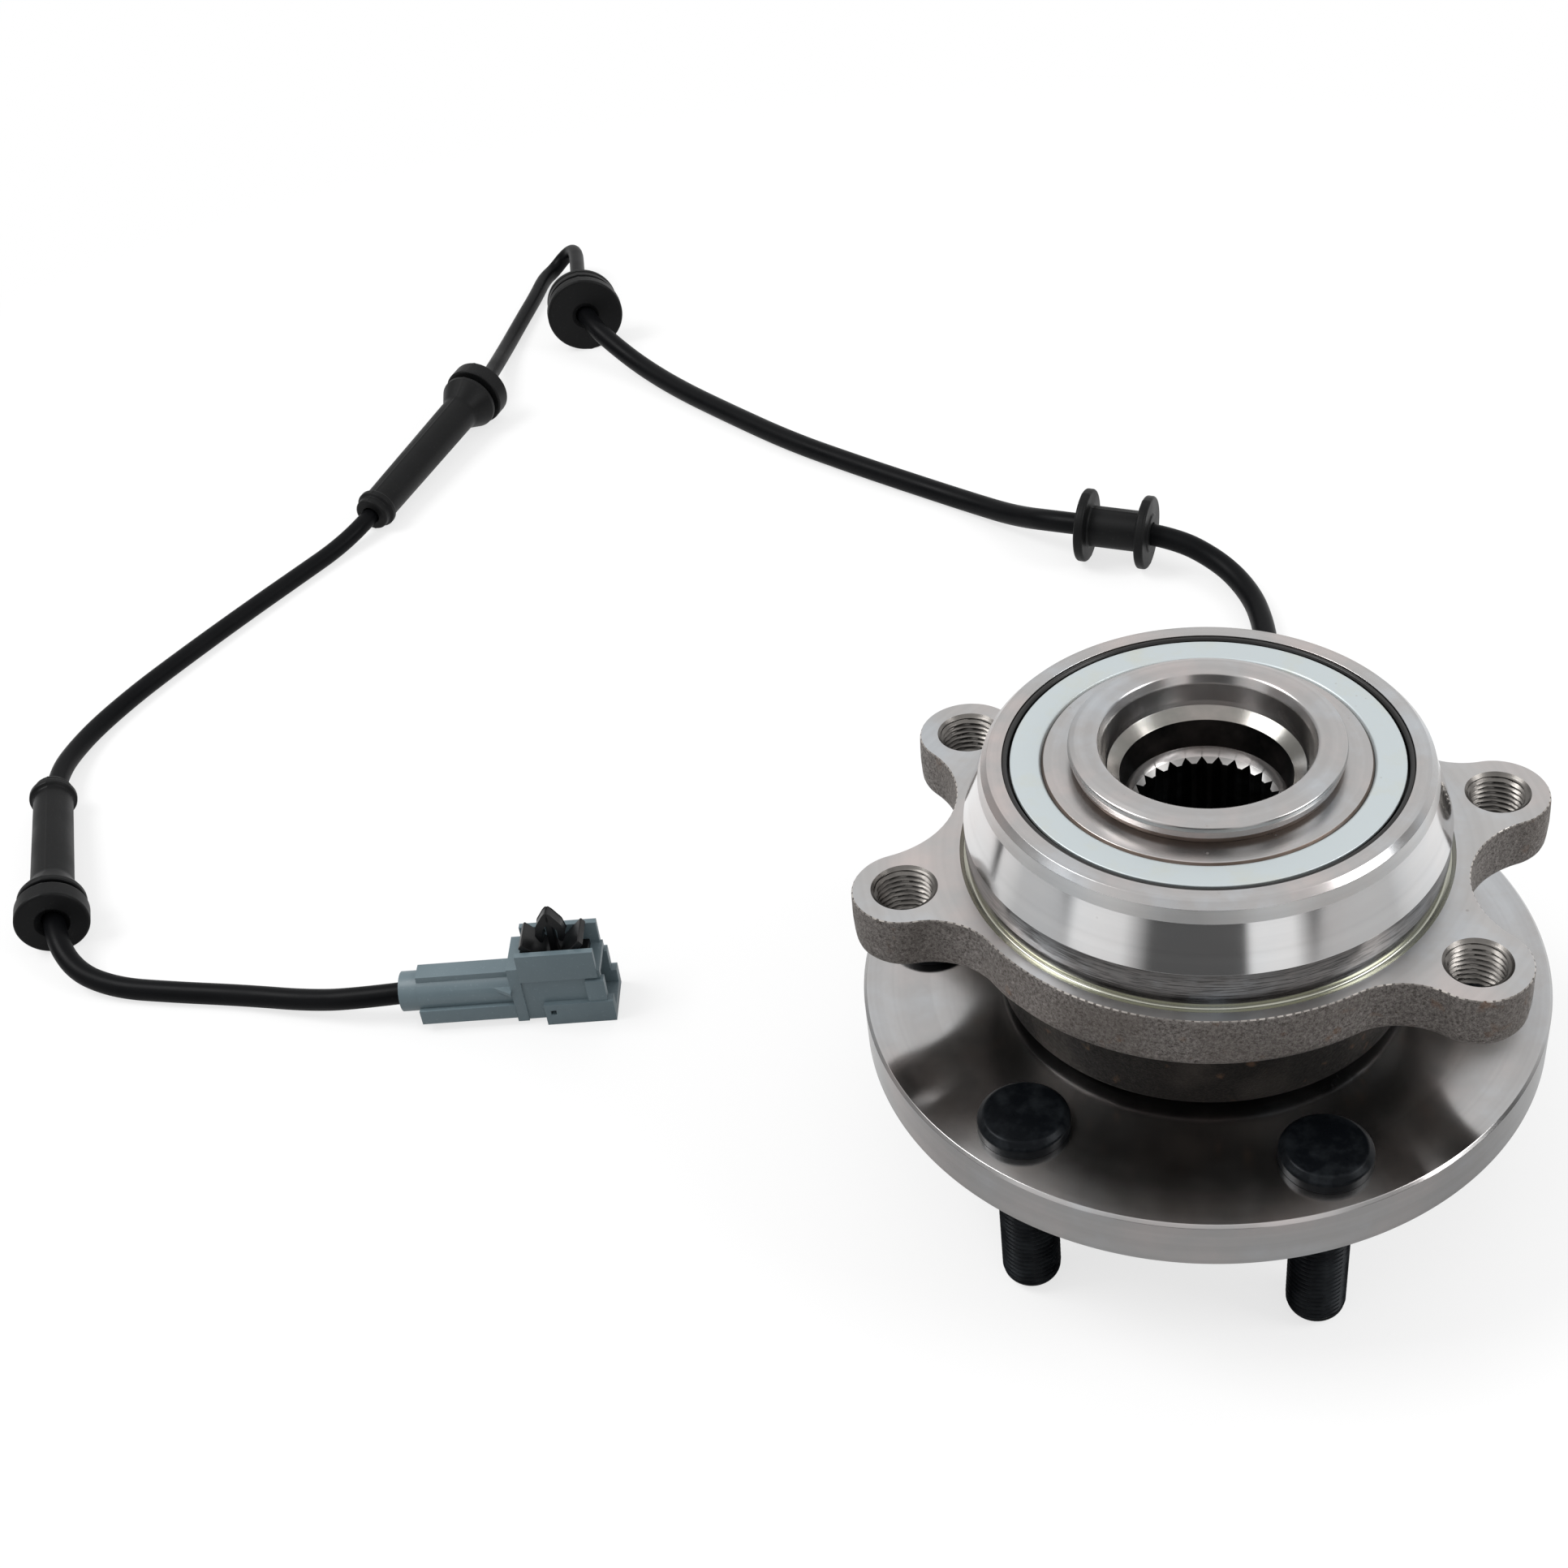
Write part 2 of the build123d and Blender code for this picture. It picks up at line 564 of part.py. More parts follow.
# Outline of the ears: four hole bosses joined by arcs, worked out for one quarter.
# The waist circle sits on the X axis and touches the boss. The neck circle touches
# both the boss and the round body.
boss_reach = math.hypot(EAR_HOLE_X, EAR_HOLE_Y)
waist_drop = EAR_WAIST_X - EAR_RADIUS
waist_x = (EAR_HOLE_X**2 + EAR_HOLE_Y**2 - waist_drop**2) / (2 * (EAR_HOLE_X - waist_drop))
waist_radius = waist_x - EAR_WAIST_X
neck_reach = EAR_BODY_RADIUS + EAR_NECK_RADIUS
boss_to_neck = EAR_RADIUS + EAR_NECK_RADIUS
neck_cosine = (boss_reach**2 + neck_reach**2 - boss_to_neck**2) / (2 * boss_reach * neck_reach)
neck_angle = math.atan2(EAR_HOLE_Y, EAR_HOLE_X) + math.acos(neck_cosine)
boss_centre = Vector(EAR_HOLE_X, EAR_HOLE_Y)
waist_centre = Vector(waist_x, 0)
neck_centre = Vector(neck_reach * math.cos(neck_angle), neck_reach * math.sin(neck_angle))
waist_touch = boss_centre + (waist_centre - boss_centre).normalized() * EAR_RADIUS
neck_touch = boss_centre + (neck_centre - boss_centre).normalized() * EAR_RADIUS
body_touch = neck_centre.normalized() * EAR_BODY_RADIUS
boss_middle = boss_centre + boss_centre.normalized() * EAR_RADIUS
neck_way = (neck_touch + body_touch) * 0.5 - neck_centre
neck_middle = neck_centre + neck_way.normalized() * EAR_NECK_RADIUS
waist_way = (waist_touch + Vector(EAR_WAIST_X, 0)) * 0.5 - waist_centre
waist_middle = waist_centre + waist_way.normalized() * waist_radius
body_middle = (body_touch + Vector(0, EAR_BODY_RADIUS)).normalized() * EAR_BODY_RADIUS

SENSOR_PLANE = Plane(origin=(0, SENSOR_PAD_REACH, SENSOR_Z), x_dir=(-1, 0, 0), z_dir=(0, 1, 0))

# Outer ring: barrel with both outer races, ears and the machined spigot
with BuildPart() as outer_ring:
    with BuildSketch(Plane.XZ):
        with BuildLine():
            start = (SEAL_BORE_RADIUS, RING_BOTTOM_Z)
            lower_bore = Line(start, (SEAL_BORE_RADIUS, OUTBOARD_ROW_Z))
            lower_race = ThreePointArc(
                lower_bore @ 1,
                (OUTER_MID_RADIUS, OUTBOARD_ROW_Z + OUTER_MID_RISE),
                (OUTER_LAND_RADIUS, OUTBOARD_ROW_Z + OUTER_LAND_RISE),
            )
            middle_land = Line(lower_race @ 1, (OUTER_LAND_RADIUS, INBOARD_ROW_Z - OUTER_LAND_RISE))
            upper_race = ThreePointArc(
                middle_land @ 1,
                (OUTER_MID_RADIUS, INBOARD_ROW_Z - OUTER_MID_RISE),
                (SEAL_BORE_RADIUS, INBOARD_ROW_Z),
            )
            spigot = Polyline(
                upper_race @ 1,
                (SEAL_BORE_RADIUS, RING_FACE_Z),
                (SPIGOT_RADIUS - RING_EDGE_DROP, RING_FACE_Z),
                (SPIGOT_RADIUS - RING_CONE_DROP, RING_FACE_Z - RING_EDGE_HEIGHT),
                (SPIGOT_RADIUS, RING_FACE_Z - RING_EDGE_HEIGHT - RING_CONE_HEIGHT),
                (PILOT_RADIUS, EAR_TOP_Z + PILOT_HEIGHT),
                (PILOT_RADIUS, EAR_TOP_Z + RELIEF_HEIGHT + PILOT_BREAK),
                (PILOT_RADIUS - PILOT_RELIEF, EAR_TOP_Z + RELIEF_HEIGHT),
                (PILOT_RADIUS - PILOT_RELIEF, GROOVE_FLOOR_Z),
                (BARREL_RADIUS + BARREL_ROOT_ROUND, GROOVE_FLOOR_Z),
                (BARREL_RADIUS + BARREL_ROOT_ROUND, EAR_BOTTOM_Z),
            )
            barrel_root = RadiusArc(
                spigot @ 1,
                (BARREL_RADIUS, EAR_BOTTOM_Z - BARREL_ROOT_ROUND),
                -BARREL_ROOT_ROUND,
            )
            Polyline(
                barrel_root @ 1,
                (BARREL_RADIUS, RING_BOTTOM_Z + BARREL_EDGE_BREAK),
                (BARREL_RADIUS - BARREL_EDGE_BREAK, RING_BOTTOM_Z),
                start,
            )
        make_face()
    revolve(axis=Axis.Z)
    with BuildSketch(Plane.XY.offset(EAR_BOTTOM_Z)):
        with BuildLine():
            ThreePointArc((EAR_WAIST_X, 0), waist_middle, waist_touch)
            ThreePointArc(waist_touch, boss_middle, neck_touch)
            ThreePointArc(neck_touch, neck_middle, body_touch)
            ThreePointArc(body_touch, body_middle, (0, EAR_BODY_RADIUS))
            mirror(about=Plane.YZ)
            mirror(about=Plane.XZ)
        make_face()
        with Locations(((SENSOR_PAD_RIGHT - SENSOR_PAD_LEFT) / 2, 0)):
            Rectangle(
                SENSOR_PAD_LEFT + SENSOR_PAD_RIGHT,
                SENSOR_PAD_REACH,
                align=(Align.CENTER, Align.MIN),
            )
        Circle(BARREL_RADIUS + BARREL_ROOT_ROUND / 2, mode=Mode.SUBTRACT)
    extrude(amount=EAR_THICKNESS)
    with BuildSketch(Plane.XZ):
        with BuildLine():
            Polyline(
                (PILOT_RADIUS - PILOT_RELIEF, GROOVE_FLOOR_Z),
                (PILOT_RADIUS + GROOVE_FLOOR_REACH, GROOVE_FLOOR_Z),
                (PILOT_RADIUS + GROOVE_MOUTH_REACH, EAR_TOP_Z),
                (PILOT_RADIUS + GROOVE_MOUTH_REACH, EAR_TOP_Z + GROOVE_DEPTH),
                (PILOT_RADIUS - PILOT_RELIEF, EAR_TOP_Z + GROOVE_DEPTH),
                close=True,
            )
        make_face()
    revolve(axis=Axis.Z, mode=Mode.SUBTRACT)
    for face_z, lean in ((EAR_TOP_Z, -1), (EAR_BOTTOM_Z, 1)):
        with BuildSketch(Plane.XY.offset(face_z)):
            with GridLocations(2 * EAR_HOLE_X, 2 * EAR_HOLE_Y, 2, 2):
                Circle(EAR_HOLE_RADIUS + EAR_HOLE_BREAK)
        extrude(amount=lean * 2 * EAR_HOLE_BREAK, taper=EAR_BREAK_ANGLE, mode=Mode.SUBTRACT)
    with BuildSketch(Plane.XY.offset(EAR_BOTTOM_Z)):
        with GridLocations(2 * EAR_HOLE_X, 2 * EAR_HOLE_Y, 2, 2):
            Circle(EAR_HOLE_RADIUS)
    extrude(amount=EAR_THICKNESS, mode=Mode.SUBTRACT)
    with BuildSketch(SENSOR_PLANE):
        Circle(SENSOR_BORE_RADIUS)
    extrude(amount=-(SENSOR_PAD_REACH - INNER_SHOULDER_RADIUS), mode=Mode.SUBTRACT)
    with BuildSketch(SENSOR_PLANE):
        with Locations((SENSOR_SCREW_OFFSET, 0)):
            Circle(SCREW_RADIUS)
    extrude(amount=-SCREW_GRIP, mode=Mode.SUBTRACT)
outer_ring.part.label = "outer_ring"
export_step(outer_ring.part, "parts/outer_ring.step")

# Two rows of balls, each in its own cage
ball_angle = 360 / BALLS_PER_ROW

with BuildPart() as inboard_balls:
    with BuildSketch(Plane.XZ):
        with Locations((PITCH_RADIUS, INBOARD_ROW_Z)):
            Circle(BALL_RADIUS)
            Rectangle(BALL_RADIUS, 2 * BALL_RADIUS, align=(Align.MAX, Align.CENTER), mode=Mode.SUBTRACT)
    revolve(axis=Axis((PITCH_RADIUS, 0, 0), (0, 0, 1)))
    add([inboard_balls.part.rotate(Axis.Z, ball_angle * step) for step in range(1, BALLS_PER_ROW)])
inboard_balls.part.label = "inboard_balls"
export_step(inboard_balls.part, "parts/inboard_balls.step")

with BuildPart() as outboard_balls:
    with BuildSketch(Plane.XZ):
        with Locations((PITCH_RADIUS, OUTBOARD_ROW_Z)):
            Circle(BALL_RADIUS)
            Rectangle(BALL_RADIUS, 2 * BALL_RADIUS, align=(Align.MAX, Align.CENTER), mode=Mode.SUBTRACT)
    revolve(axis=Axis((PITCH_RADIUS, 0, 0), (0, 0, 1)))
    add([outboard_balls.part.rotate(Axis.Z, ball_angle * step) for step in range(1, BALLS_PER_ROW)])
outboard_balls.part.label = "outboard_balls"
export_step(outboard_balls.part, "parts/outboard_balls.step")

with BuildPart() as inboard_cage:
    with BuildSketch(Plane.XY.offset(INBOARD_ROW_Z - CAGE_RIM_REACH)):
        Circle(CAGE_OUTER_RADIUS)
        Circle(CAGE_INNER_RADIUS, mode=Mode.SUBTRACT)
    extrude(amount=CAGE_RIM_REACH + CAGE_PRONG_REACH)
    with Locations((0, 0, INBOARD_ROW_Z)):
        with PolarLocations(PITCH_RADIUS, BALLS_PER_ROW):
            Sphere(BALL_RADIUS + CAGE_POCKET_CLEARANCE, mode=Mode.SUBTRACT)
inboard_cage.part.label = "inboard_cage"
export_step(inboard_cage.part, "parts/inboard_cage.step")

with BuildPart() as outboard_cage:
    with BuildSketch(Plane.XY.offset(OUTBOARD_ROW_Z - CAGE_PRONG_REACH)):
        Circle(CAGE_OUTER_RADIUS)
        Circle(CAGE_INNER_RADIUS, mode=Mode.SUBTRACT)
    extrude(amount=CAGE_RIM_REACH + CAGE_PRONG_REACH)
    with Locations((0, 0, OUTBOARD_ROW_Z)):
        with PolarLocations(PITCH_RADIUS, BALLS_PER_ROW):
            Sphere(BALL_RADIUS + CAGE_POCKET_CLEARANCE, mode=Mode.SUBTRACT)
outboard_cage.part.label = "outboard_cage"
export_step(outboard_cage.part, "parts/outboard_cage.step")

# Slinger: zinc-plated angle ring pressed over the inner ring's shoulder
slinger_sleeve_radius = INNER_SHOULDER_RADIUS + SEAL_SHEET
slinger_bottom_z = INNER_FACE_Z - SLINGER_LENGTH
slinger_under_z = INNER_FACE_Z - SEAL_SHEET

with BuildPart() as inboard_slinger:
    with BuildSketch(Plane.XZ):
        with BuildLine():
            Polyline(
                (INNER_SHOULDER_RADIUS, slinger_bottom_z),
                (slinger_sleeve_radius, slinger_bottom_z),
                (slinger_sleeve_radius, slinger_under_z),
                (SLINGER_RADIUS, slinger_under_z),
                (SLINGER_RADIUS, INNER_FACE_Z),
                (INNER_SHOULDER_RADIUS + SEAL_LIP_GAP, INNER_FACE_Z),
                (INNER_SHOULDER_RADIUS, INNER_FACE_Z - INNER_RING_BREAK),
                close=True,
            )
        make_face()
    revolve(axis=Axis.Z)
inboard_slinger.part.label = "inboard_slinger"
export_step(inboard_slinger.part, "parts/inboard_slinger.step")

# Inboard seal case: rubber-covered angle ring pressed into the outer ring
inboard_case_top_z = RING_FACE_Z - INBOARD_SEAL_SINK
inboard_case_bottom_z = inboard_case_top_z - INBOARD_SEAL_WIDTH
inboard_case_floor_z = inboard_case_bottom_z + SEAL_SHEET
inboard_case_wall_radius = SLINGER_RADIUS + SLINGER_EDGE_GAP

with BuildPart() as inboard_seal_case:
    with BuildSketch(Plane.XZ):
        with BuildLine():
            Polyline(
                (INBOARD_CASE_BORE_RADIUS, inboard_case_bottom_z),
                (SEAL_BORE_RADIUS, inboard_case_bottom_z),
                (SEAL_BORE_RADIUS, inboard_case_top_z),
                (inboard_case_wall_radius, inboard_case_top_z),
                (inboard_case_wall_radius, inboard_case_floor_z),
                (INBOARD_CASE_BORE_RADIUS, inboard_case_floor_z),
                close=True,
            )
        make_face()
    revolve(axis=Axis.Z)
inboard_seal_case.part.label = "inboard_seal_case"
export_step(inboard_seal_case.part, "parts/inboard_seal_case.step")

# Inboard seal lips: one against the slinger's sleeve, one against its disc
lip_bore_radius = slinger_sleeve_radius + SEAL_LIP_GAP
lip_top_z = slinger_under_z - SEAL_LIP_GAP
side_lip_radius = INBOARD_CASE_BORE_RADIUS + SIDE_LIP_INSET

with BuildPart() as inboard_seal_lip:
    with BuildSketch(Plane.XZ):
        with BuildLine():
            Polyline(
                (lip_bore_radius + LIP_THICKNESS, inboard_case_bottom_z),
                (INBOARD_CASE_BORE_RADIUS, inboard_case_bottom_z),
                (INBOARD_CASE_BORE_RADIUS, inboard_case_floor_z),
                (inboard_case_wall_radius, inboard_case_floor_z),
                (inboard_case_wall_radius, inboard_case_floor_z + SEAL_SHEET),
                (side_lip_radius + SIDE_LIP_ROOT, inboard_case_floor_z + SEAL_SHEET),
                (side_lip_radius + SIDE_LIP_LEAN + SIDE_LIP_TIP, lip_top_z),
                (side_lip_radius + SIDE_LIP_LEAN, lip_top_z),
                (side_lip_radius, inboard_case_floor_z + SEAL_SHEET),
                (lip_bore_radius + LIP_THICKNESS, inboard_case_floor_z + SEAL_SHEET),
                (lip_bore_radius, inboard_case_floor_z + 2 * SEAL_SHEET),
                (lip_bore_radius, inboard_case_floor_z + SEAL_SHEET),
                close=True,
            )
        make_face()
    revolve(axis=Axis.Z)
inboard_seal_lip.part.label = "inboard_seal_lip"
export_step(inboard_seal_lip.part, "parts/inboard_seal_lip.step")

# Outboard seal: angle ring in the outer ring, lips on the spindle's shoulder
outboard_case_bottom_z = RING_BOTTOM_Z + OUTBOARD_SEAL_SINK
outboard_case_top_z = outboard_case_bottom_z + OUTBOARD_SEAL_WIDTH
outboard_case_under_z = outboard_case_top_z - SEAL_SHEET
outboard_case_wall_radius = SEAL_BORE_RADIUS - SEAL_CASE_WALL

with BuildPart() as outboard_seal_case:
    with BuildSketch(Plane.XZ):
        with BuildLine():
            Polyline(
                (outboard_case_wall_radius, outboard_case_bottom_z),
                (SEAL_BORE_RADIUS, outboard_case_bottom_z),
                (SEAL_BORE_RADIUS, outboard_case_top_z),
                (OUTBOARD_CASE_BORE_RADIUS, outboard_case_top_z),
                (OUTBOARD_CASE_BORE_RADIUS, outboard_case_under_z),
                (outboard_case_wall_radius, outboard_case_under_z),
                close=True,
            )
        make_face()
    revolve(axis=Axis.Z)
outboard_seal_case.part.label = "outboard_seal_case"
export_step(outboard_seal_case.part, "parts/outboard_seal_case.step")

outboard_lip_radius = INNER_SHOULDER_RADIUS + SEAL_LIP_GAP

with BuildPart() as outboard_seal_lip:
    with BuildSketch(Plane.XZ):
        with BuildLine():
            Polyline(
                (outboard_lip_radius, outboard_case_top_z),
                (outboard_lip_radius + LIP_THICKNESS, outboard_case_top_z),
                (outboard_lip_radius + 2 * LIP_THICKNESS, outboard_case_under_z + SEAL_SHEET / 2),
                (OUTBOARD_CASE_BORE_RADIUS, outboard_case_under_z + SEAL_SHEET / 2),
                (OUTBOARD_CASE_BORE_RADIUS, outboard_case_under_z),
                (outboard_case_wall_radius, outboard_case_under_z),
                (outboard_case_wall_radius, outboard_case_under_z - SEAL_SHEET),
                (outboard_lip_radius + 2 * LIP_FLARE, outboard_case_under_z - SEAL_SHEET),
                (outboard_lip_radius + LIP_THICKNESS, outboard_case_bottom_z + SEAL_SHEET),
                (outboard_lip_radius, outboard_case_bottom_z + SEAL_SHEET),
                (outboard_lip_radius + LIP_FLARE, outboard_case_under_z - SEAL_SHEET / 2),
                close=True,
            )
        make_face()
    revolve(axis=Axis.Z)
outboard_seal_lip.part.label = "outboard_seal_lip"
export_step(outboard_seal_lip.part, "parts/outboard_seal_lip.step")

# Toothed ring on the spindle between the ball rows
with BuildPart() as tone_ring:
    with BuildSketch(Plane.XY.offset(TONE_Z)):
        Circle(TONE_RADIUS)
        Circle(INNER_LAND_RADIUS, mode=Mode.SUBTRACT)
        with PolarLocations(TONE_RADIUS, TONE_TEETH):
            Rectangle(2 * TONE_TOOTH_DEPTH, math.pi * TONE_RADIUS / TONE_TEETH, mode=Mode.SUBTRACT)
    extrude(amount=TONE_WIDTH)
tone_ring.part.label = "tone_ring"
export_step(tone_ring.part, "parts/tone_ring.step")

# Sensor: probe through the ring, mounting plate, head and downward cable neck.
# Depths count from the pad, inwards below zero.
probe_radius = SENSOR_BORE_RADIUS - SENSOR_PROBE_CLEARANCE
probe_depth = SENSOR_PAD_REACH - TONE_RADIUS - TONE_AIR_GAP
pole_back = -probe_depth + POLE_LENGTH
limiter_radius = SCREW_RADIUS + SCREW_CLEARANCE + LIMITER_WALL
o_ring_middle = SENSOR_BORE_RADIUS - O_RING_SECTION_RADIUS
exit_slope = math.radians(SENSOR_EXIT_DROP)
exit_direction = Vector(0, math.cos(exit_slope), -math.sin(exit_slope))
neck_start = Vector(0, SENSOR_PAD_REACH + SENSOR_HEAD_DEPTH, SENSOR_Z)
cable_exit = neck_start + exit_direction * SENSOR_NECK_LENGTH
NECK_PLANE = Plane(origin=neck_start, x_dir=(1, 0, 0), z_dir=exit_direction)
EXIT_PLANE = NECK_PLANE.offset(SENSOR_NECK_LENGTH)
PROBE_AXIS = Axis((0, 0, SENSOR_Z), (0, 1, 0))

with BuildPart() as sensor_body:
    with BuildSketch(SENSOR_PLANE):
        Circle(probe_radius)
    extrude(amount=-probe_depth)
    with BuildSketch(SENSOR_PLANE):
        with BuildLine():
            eye_reach = SENSOR_SCREW_OFFSET + SENSOR_EYE_RADIUS
            lean = math.acos((SENSOR_PLATE_RADIUS - SENSOR_EYE_RADIUS) / SENSOR_SCREW_OFFSET)
            upwards = Vector(math.cos(lean), math.sin(lean))
            downwards = Vector(math.cos(lean), -math.sin(lean))
            eye_centre = Vector(SENSOR_SCREW_OFFSET, 0)
            big_top = upwards * SENSOR_PLATE_RADIUS
            big_low = downwards * SENSOR_PLATE_RADIUS
            eye_top = eye_centre + upwards * SENSOR_EYE_RADIUS
            eye_low = eye_centre + downwards * SENSOR_EYE_RADIUS
            ThreePointArc(big_top, (-SENSOR_PLATE_RADIUS, 0), big_low)
            Line(big_low, eye_low)
            ThreePointArc(eye_low, (eye_reach, 0), eye_top)
            Line(eye_top, big_top)
        make_face()
    extrude(amount=SENSOR_PLATE_THICKNESS)
    with BuildSketch(SENSOR_PLANE.offset(SENSOR_PLATE_THICKNESS)):
        RectangleRounded(SENSOR_HEAD_WIDTH, SENSOR_HEAD_HEIGHT, SENSOR_HEAD_ROUND)
    extrude(amount=SENSOR_HEAD_DEPTH)
    with BuildSketch(NECK_PLANE):
        Circle(SENSOR_NECK_RADIUS)
    extrude(amount=SENSOR_NECK_LENGTH)
    with BuildSketch(SENSOR_PLANE):
        with Locations((SENSOR_SCREW_OFFSET, 0)):
            Circle(limiter_radius)
    extrude(amount=SENSOR_PLATE_THICKNESS, mode=Mode.SUBTRACT)
    with BuildSketch(SENSOR_PLANE.offset(-probe_depth)):
        Circle(POLE_RADIUS)
    extrude(amount=POLE_LENGTH, mode=Mode.SUBTRACT)
    with BuildSketch(SENSOR_PLANE.offset(pole_back - COIL_LENGTH)):
        Circle(COIL_RADIUS)
    extrude(amount=COIL_LENGTH, mode=Mode.SUBTRACT)
    with BuildSketch(SENSOR_PLANE.offset(pole_back)):
        Circle(MAGNET_RADIUS)
    extrude(amount=MAGNET_LENGTH, mode=Mode.SUBTRACT)
    with BuildSketch(Plane.YZ):
        with Locations((SENSOR_PAD_REACH - O_RING_DEPTH, SENSOR_Z + o_ring_middle)):
            Circle(O_RING_SECTION_RADIUS)
    revolve(axis=PROBE_AXIS, mode=Mode.SUBTRACT)
sensor_body.part.label = "sensor_body"
export_step(sensor_body.part, "parts/sensor_body.step")

with BuildPart() as sensor_pole_piece:
    with BuildSketch(SENSOR_PLANE.offset(-probe_depth)):
        Circle(POLE_RADIUS)
    extrude(amount=POLE_LENGTH)
sensor_pole_piece.part.label = "sensor_pole_piece"
export_step(sensor_pole_piece.part, "parts/sensor_pole_piece.step")

with BuildPart() as sensor_coil:
    with BuildSketch(SENSOR_PLANE.offset(pole_back - COIL_LENGTH)):
        Circle(COIL_RADIUS)
        Circle(POLE_RADIUS, mode=Mode.SUBTRACT)
    extrude(amount=COIL_LENGTH)
sensor_coil.part.label = "sensor_coil"
export_step(sensor_coil.part, "parts/sensor_coil.step")

with BuildPart() as sensor_magnet:
    with BuildSketch(SENSOR_PLANE.offset(pole_back)):
        Circle(MAGNET_RADIUS)
    extrude(amount=MAGNET_LENGTH)
sensor_magnet.part.label = "sensor_magnet"
export_step(sensor_magnet.part, "parts/sensor_magnet.step")

with BuildPart() as sensor_o_ring:
    with BuildSketch(Plane.YZ):
        with Locations((SENSOR_PAD_REACH - O_RING_DEPTH, SENSOR_Z + o_ring_middle)):
            Circle(O_RING_SECTION_RADIUS)
    revolve(axis=PROBE_AXIS)
sensor_o_ring.part.label = "sensor_o_ring"
export_step(sensor_o_ring.part, "parts/sensor_o_ring.step")

with BuildPart() as sensor_limiter:
    with BuildSketch(SENSOR_PLANE):
        with Locations((SENSOR_SCREW_OFFSET, 0)):
            Circle(limiter_radius)
            Circle(SCREW_RADIUS + SCREW_CLEARANCE, mode=Mode.SUBTRACT)
    extrude(amount=SENSOR_PLATE_THICKNESS)
sensor_limiter.part.label = "sensor_limiter"
export_step(sensor_limiter.part, "parts/sensor_limiter.step")

with BuildPart() as sensor_screw:
    with BuildSketch(SENSOR_PLANE.offset(-SCREW_GRIP)):
        with Locations((SENSOR_SCREW_OFFSET, 0)):
            Circle(SCREW_RADIUS)
    extrude(amount=SCREW_GRIP + SENSOR_PLATE_THICKNESS)
    with BuildSketch(SENSOR_PLANE.offset(SENSOR_PLATE_THICKNESS)):
        with Locations((SENSOR_SCREW_OFFSET, 0)):
            Circle(SCREW_WASHER_RADIUS)
    extrude(amount=SCREW_WASHER_HEIGHT)
    with BuildSketch(SENSOR_PLANE.offset(SENSOR_PLATE_THICKNESS + SCREW_WASHER_HEIGHT)):
        with Locations((SENSOR_SCREW_OFFSET, 0)):
            RegularPolygon(SCREW_HEAD_RADIUS, 6)
    extrude(amount=SCREW_HEAD_HEIGHT - SCREW_WASHER_HEIGHT)
    with BuildSketch(SENSOR_PLANE.offset(SENSOR_PLATE_THICKNESS + SCREW_HEAD_HEIGHT)):
        with Locations((SENSOR_SCREW_OFFSET, 0)):
            Circle(SCREW_SOCKET_RADIUS)
    extrude(amount=-SCREW_SOCKET_DEPTH, mode=Mode.SUBTRACT)
sensor_screw.part.label = "sensor_screw"
export_step(sensor_screw.part, "parts/sensor_screw.step")

with BuildPart() as sensor_strain_relief:
    with BuildSketch(EXIT_PLANE):
        Circle(BOOT_ROOT_RADIUS)
    with BuildSketch(EXIT_PLANE.offset(BOOT_LENGTH)):
        Circle(BOOT_TIP_RADIUS)
    loft()
    with BuildSketch(EXIT_PLANE):
        Circle(SHEATH_RADIUS)
    extrude(amount=BOOT_LENGTH, mode=Mode.SUBTRACT)
sensor_strain_relief.part.label = "sensor_strain_relief"
export_step(sensor_strain_relief.part, "parts/sensor_strain_relief.step")


def corner_radii(points):
    """Largest radius for each corner that leaves a tenth of its shorter run straight."""
    corners = [Vector(point) for point in points]
    radii = []
    for before, corner, after in zip(corners, corners[1:], corners[2:]):
        shorter_run = min((corner - before).length, (after - corner).length)
        turn = (corner - before).get_angle(after - corner)
        radii.append(BEND_SHARE * shorter_run / math.tan(math.radians(turn / 2)))
    return radii


def report_cable(name, path, solid, radius, radii):
    """Print the cable's length, its tightest corners and how well its volume fits its length."""
    length = sum(edge.length for edge in path.edges())
    share = solid.volume / (math.pi * radius**2 * length)
    print(f"{name}: length {length:.1f}, volume over section times length {share:.4f}")
    print(f"{name}: corner radii {', '.join(f'{value:.1f}' for value in radii)}")


heading = math.radians(CONNECTOR_HEADING)
connector_axis = Vector(math.cos(heading), math.sin(heading), 0)
CONNECTOR_PLANE = Plane(
    origin=CONNECTOR_START,
    x_dir=(-math.sin(heading), math.cos(heading), 0),
    z_dir=connector_axis,
)
connector_start = Vector(CONNECTOR_START)
wire_end = connector_start + connector_axis * WIRE_BORE_DEPTH

# Sheathed stretch of the lead
sheath_points = [cable_exit] + SHEATH_ROUTE
sheath_radii = corner_radii(sheath_points)

with BuildPart() as sheathed_lead:
    with BuildLine() as sheath_path:
        FilletPolyline(*sheath_points, radius=sheath_radii)
    with BuildSketch(Plane(origin=sheath_path.line @ 0, z_dir=sheath_path.line % 0)):
        Circle(SHEATH_RADIUS)
    sweep()
sheathed_lead.part.label = "sheathed_lead"
export_step(sheathed_lead.part, "parts/sheathed_lead.step")
report_cable("sheathed lead", sheath_path.line, sheathed_lead.part, SHEATH_RADIUS, sheath_radii)

# Bare stretch of the lead
lead_points = LEAD_ROUTE + [wire_end]
lead_radii = corner_radii(lead_points)

